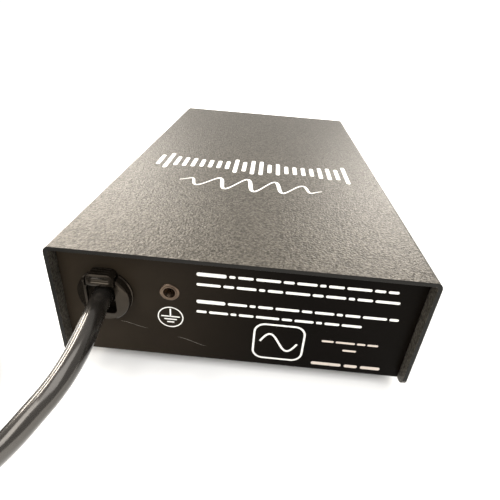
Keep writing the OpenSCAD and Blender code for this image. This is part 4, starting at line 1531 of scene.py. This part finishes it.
@dataclass
class TopPrint:
    """White graphic on the cover: a row of level bars, and a flowing wave behind it."""

    shop: Workshop
    bars: int = 23
    left: float = -51.0
    right: float = 55.0
    middle_y: float = 28.0
    tallest: float = 25.0
    bar_width: float = 0.0023
    chips: int = 9

    def pen(self) -> InkPen:
        """A pen for the cover's top."""
        return InkPen(Vector((0, 0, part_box("cover")[1][2])), Vector((1, 0, 0)), Vector((0, 1, 0)))

    def level_bars(self) -> None:
        """Draw upright bars whose heights swell and fall along the row."""
        pen = self.pen()
        for index in range(self.bars):
            share = index / (self.bars - 1)
            swell = 0.72 + 0.28 * math.cos(math.tau * 2 * (share - 0.5))
            height = self.tallest * max(0.42, swell * (0.78 + 0.22 * math.cos(2.4 * index)))
            x = self.left + (self.right - self.left) * share
            low, high = self.middle_y - height / 2, self.middle_y + height / 2
            pen.dash((x * MM, low * MM), (x * MM, high * MM), self.bar_width)
        self.shop.mount(pen.finish("level_bars"), Body.ROOT, "white_ink")

    def flowing_wave(self) -> None:
        """Draw a pen-like wave, thick on its down strokes and thin at its ends."""
        pen = self.pen()
        steps = 160
        points, widths = [], []
        for k in range(steps + 1):
            share = k / steps
            fade = math.sin(math.pi * share) ** 0.5
            phase = math.tau * 5 * share
            x = -35 + 73 * share + 1.6 * math.sin(phase)
            points.append((x * MM, (56.5 + 8 * fade * math.sin(phase)) * MM))
            widths.append((0.5 + 1.7 * fade * (0.6 - 0.4 * math.cos(phase))) * MM)
        pen.sweep(points, widths)
        self.shop.mount(pen.finish("flowing_wave"), Body.ROOT, "white_ink")

    def scuffs(self) -> None:
        """Draw the short scratch near the rear corner, and the chips along the rear edge."""
        pen = self.pen()
        pen.rise = 0.00003
        scratch = [(0.0625, 0.1305), (0.0605, 0.1298), (0.0585, 0.1282), (0.0564, 0.127)]
        pen.sweep(scratch, [0.0001, 0.0003, 0.0002, 0.00008])
        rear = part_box("cover")[1][1] - 0.0004
        for chip in range(self.chips):
            at = 0.0615 - 0.0061 * chip - 0.0021 * (chip % 3)
            long = 0.0004 + 0.0005 * (chip * 5 % 4)
            pen.dash((at, rear), (at - long, rear - 0.0001), 0.00028)
        self.shop.mount(pen.finish("cover_scuff"), Body.ROOT, "scuffed_paint")

    def build(self) -> None:
        """Draw everything on the cover."""
        self.level_bars()
        self.flowing_wave()
        self.scuffs()


# ---------------------------------------------------------------- front panel


@dataclass
class FrontControls:
    """The level knob with its dial, the hardware's rounded edges, and the panel's signs."""

    shop: Workshop
    flutes: int = 24
    sweep_deg: float = 300
    marks: int = 10

    @property
    def face(self) -> float:
        """Where the front panel's face lies along Y."""
        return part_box("chassis")[0][1]

    @staticmethod
    def middle_of(node: str) -> Vector:
        """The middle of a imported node's box."""
        low, high = (Vector(corner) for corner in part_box(node))
        return (low + high) / 2

    def pen(self) -> InkPen:
        """A pen for the front face."""
        return InkPen(Vector((0, self.face, 0)), Vector((1, 0, 0)), Vector((0, 0, 1)))

    def build_knob(self) -> None:
        """Turn the knob, cut its flutes, and inlay its pointer."""
        low, high = (Vector(corner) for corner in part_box("level_knob"))
        centre = Vector(((low.x + high.x) / 2, high.y, (low.z + high.z) / 2))
        tall = (high.y - low.y) / MM
        outline = [
            (3.02, 3.4), (6.4, 3.4), (6.4, 0), (8.75, 0), (9, 0.25), (9, 2.5), (8.75, 3.0), (7.9, 3.25),
            (7.5, 3.6),
            (7.3, 4.4), (7.0, tall - 1.5), (6.7, tall - 0.6), (6.1, tall - 0.12), (5.5, tall),
            (4.9, tall - 0.25),
            (0, tall - 0.35), (0, tall - 3), (3.02, tall - 3), (3.02, 3.4),
        ]
        metres = [(r * MM, h * MM) for r, h in outline]
        knob = new_turning("fluted_knob", metres, centre, Vector((0, -1, 0)), 96)
        cutters = []
        for index in range(self.flutes):
            angle = math.tau * (index + 0.5) / self.flutes
            out = -(4.6 + (tall - 4.6) / 2 + 1)
            place = centre + Vector((math.cos(angle) * 7.45, out, math.sin(angle) * 7.45)) * MM
            cutters.append(new_rod("flute", place, 0.0006, (tall - 4.6 + 1.2) * MM, Axis.Y, 16))
        cut(knob, [join("flutes", cutters)])
        choose(knob)
        bpy.ops.object.shade_smooth_by_angle(angle=math.radians(35))
        self.shop.mount(knob, Body.LEVEL, "knob_plastic", "knob_plastic", ("level_knob",))
        tip = Vector((centre.x, low.y + 0.00036, centre.z))
        pen = InkPen(tip, Vector((1, 0, 0)), Vector((0, 0, 1)), 0.00016)
        pen.dash((0, 0.0012), (0, 0.0044), 0.0008)
        self.shop.mount(pen.finish("knob_pointer"), Body.LEVEL, "white_ink")

    def build_dial(self) -> None:
        """Draw the dial's ticks and numbers round the knob."""
        centre = self.middle_of("level_knob")
        pen = self.pen()
        for mark in range(self.marks + 1):
            angle = math.radians(90 + self.sweep_deg / 2 - self.sweep_deg * mark / self.marks)
            way = Vector((math.cos(angle), math.sin(angle)))
            place = Vector((centre.x, centre.z))
            pen.dash(place + way * 0.0102, place + way * 0.0116, 0.00045)
            pen.number(mark, place + way * 0.0135, 0.0026)
        self.shop.mount(pen.finish("level_dial"), Body.ROOT, "white_ink")

    def arrow(self, pen: InkPen, start: Sequence[float], end: Sequence[float]) -> None:
        """Draw an arrow.

        Args:
            pen: The pen of the face.
            start: Tail of the arrow.
            end: Its point.
        """
        pen.dash(start, end, 0.0005)
        way = (Vector(end) - Vector(start)).normalized()
        side = Vector((-way.y, way.x))
        for sign in (-1, 1):
            pen.dash(end, Vector(end) - way * 0.0014 + side * sign * 0.0011, 0.0005)

    def build_signs(self) -> None:
        """Draw the plain signs: arrows at the jacks, earth at the lift switch, power at its switch."""
        pen = self.pen()
        for node, inward in (("input_jack_nut", True), ("output_jack_nut", False)):
            centre = self.middle_of(node)
            level = centre.z + 0.0118
            pen.ring((centre.x, level), 0.0011, 0.00045)
            near, far = (centre.x + 0.0022, level), (centre.x + 0.0058, level)
            self.arrow(pen, far if inward else near, near if inward else far)
        lift = self.middle_of("lift_switch_nut")
        top = lift.z + 0.0120
        pen.dash((lift.x, top + 0.0012), (lift.x, top - 0.0006), 0.00045)
        for step, half in enumerate((0.0021, 0.0014, 0.0007)):
            level = top - 0.0006 - 0.0009 * step
            pen.dash((lift.x - half, level), (lift.x + half, level), 0.00045)
        power = self.middle_of("power_switch_nut")
        low = power.z - 0.0105
        pen.ring((power.x, low), 0.0018, 0.00045, 120, 300)
        pen.dash((power.x, low + 0.0023), (power.x, low + 0.0003), 0.00045)
        self.shop.mount(pen.finish("front_signs"), Body.ROOT, "white_ink")

    def build_hardware(self) -> None:
        """Round the edges of the nuts, the lamp's bezel and the balanced outlet."""
        rounded = {
            "input_jack_nut": "chrome_nut", "output_jack_nut": "chrome_nut", "level_nut": "chrome_nut",
            "lift_switch_nut": "chrome_nut", "power_switch_nut": "chrome_nut", "lamp_bezel": "chrome_nut",
            "outlet_shell": "outlet_metal", "outlet_screws": "black_screw",
        }
        for node, finish in rounded.items():
            piece = refined(node, f"{node}_rounded", 0.00018, 2)
            self.shop.mount(piece, Body.ROOT, finish, finish, (node,))

    def build(self) -> None:
        """Make everything on the front."""
        self.build_knob()
        self.build_dial()
        self.build_signs()
        self.build_hardware()


def main() -> None:
    """Build the camera and the lead first, then every sub-assembly."""
    logging.basicConfig(level=logging.INFO, format="%(name)s %(message)s")
    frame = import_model()
    Viewpoint().build()
    shop = Workshop(frame, FinishRack())
    lead = MainsLead(shop)
    curve = lead.draw()
    fittings = LeadFittings(shop, lead).build()
    Studio().build()
    shop.dress_nodes()
    for assembly in (Case(shop), MainsEntry(shop), RearPrint(shop), TopPrint(shop), FrontControls(shop)):
        assembly.build()


if __name__ == "__main__":
    main()
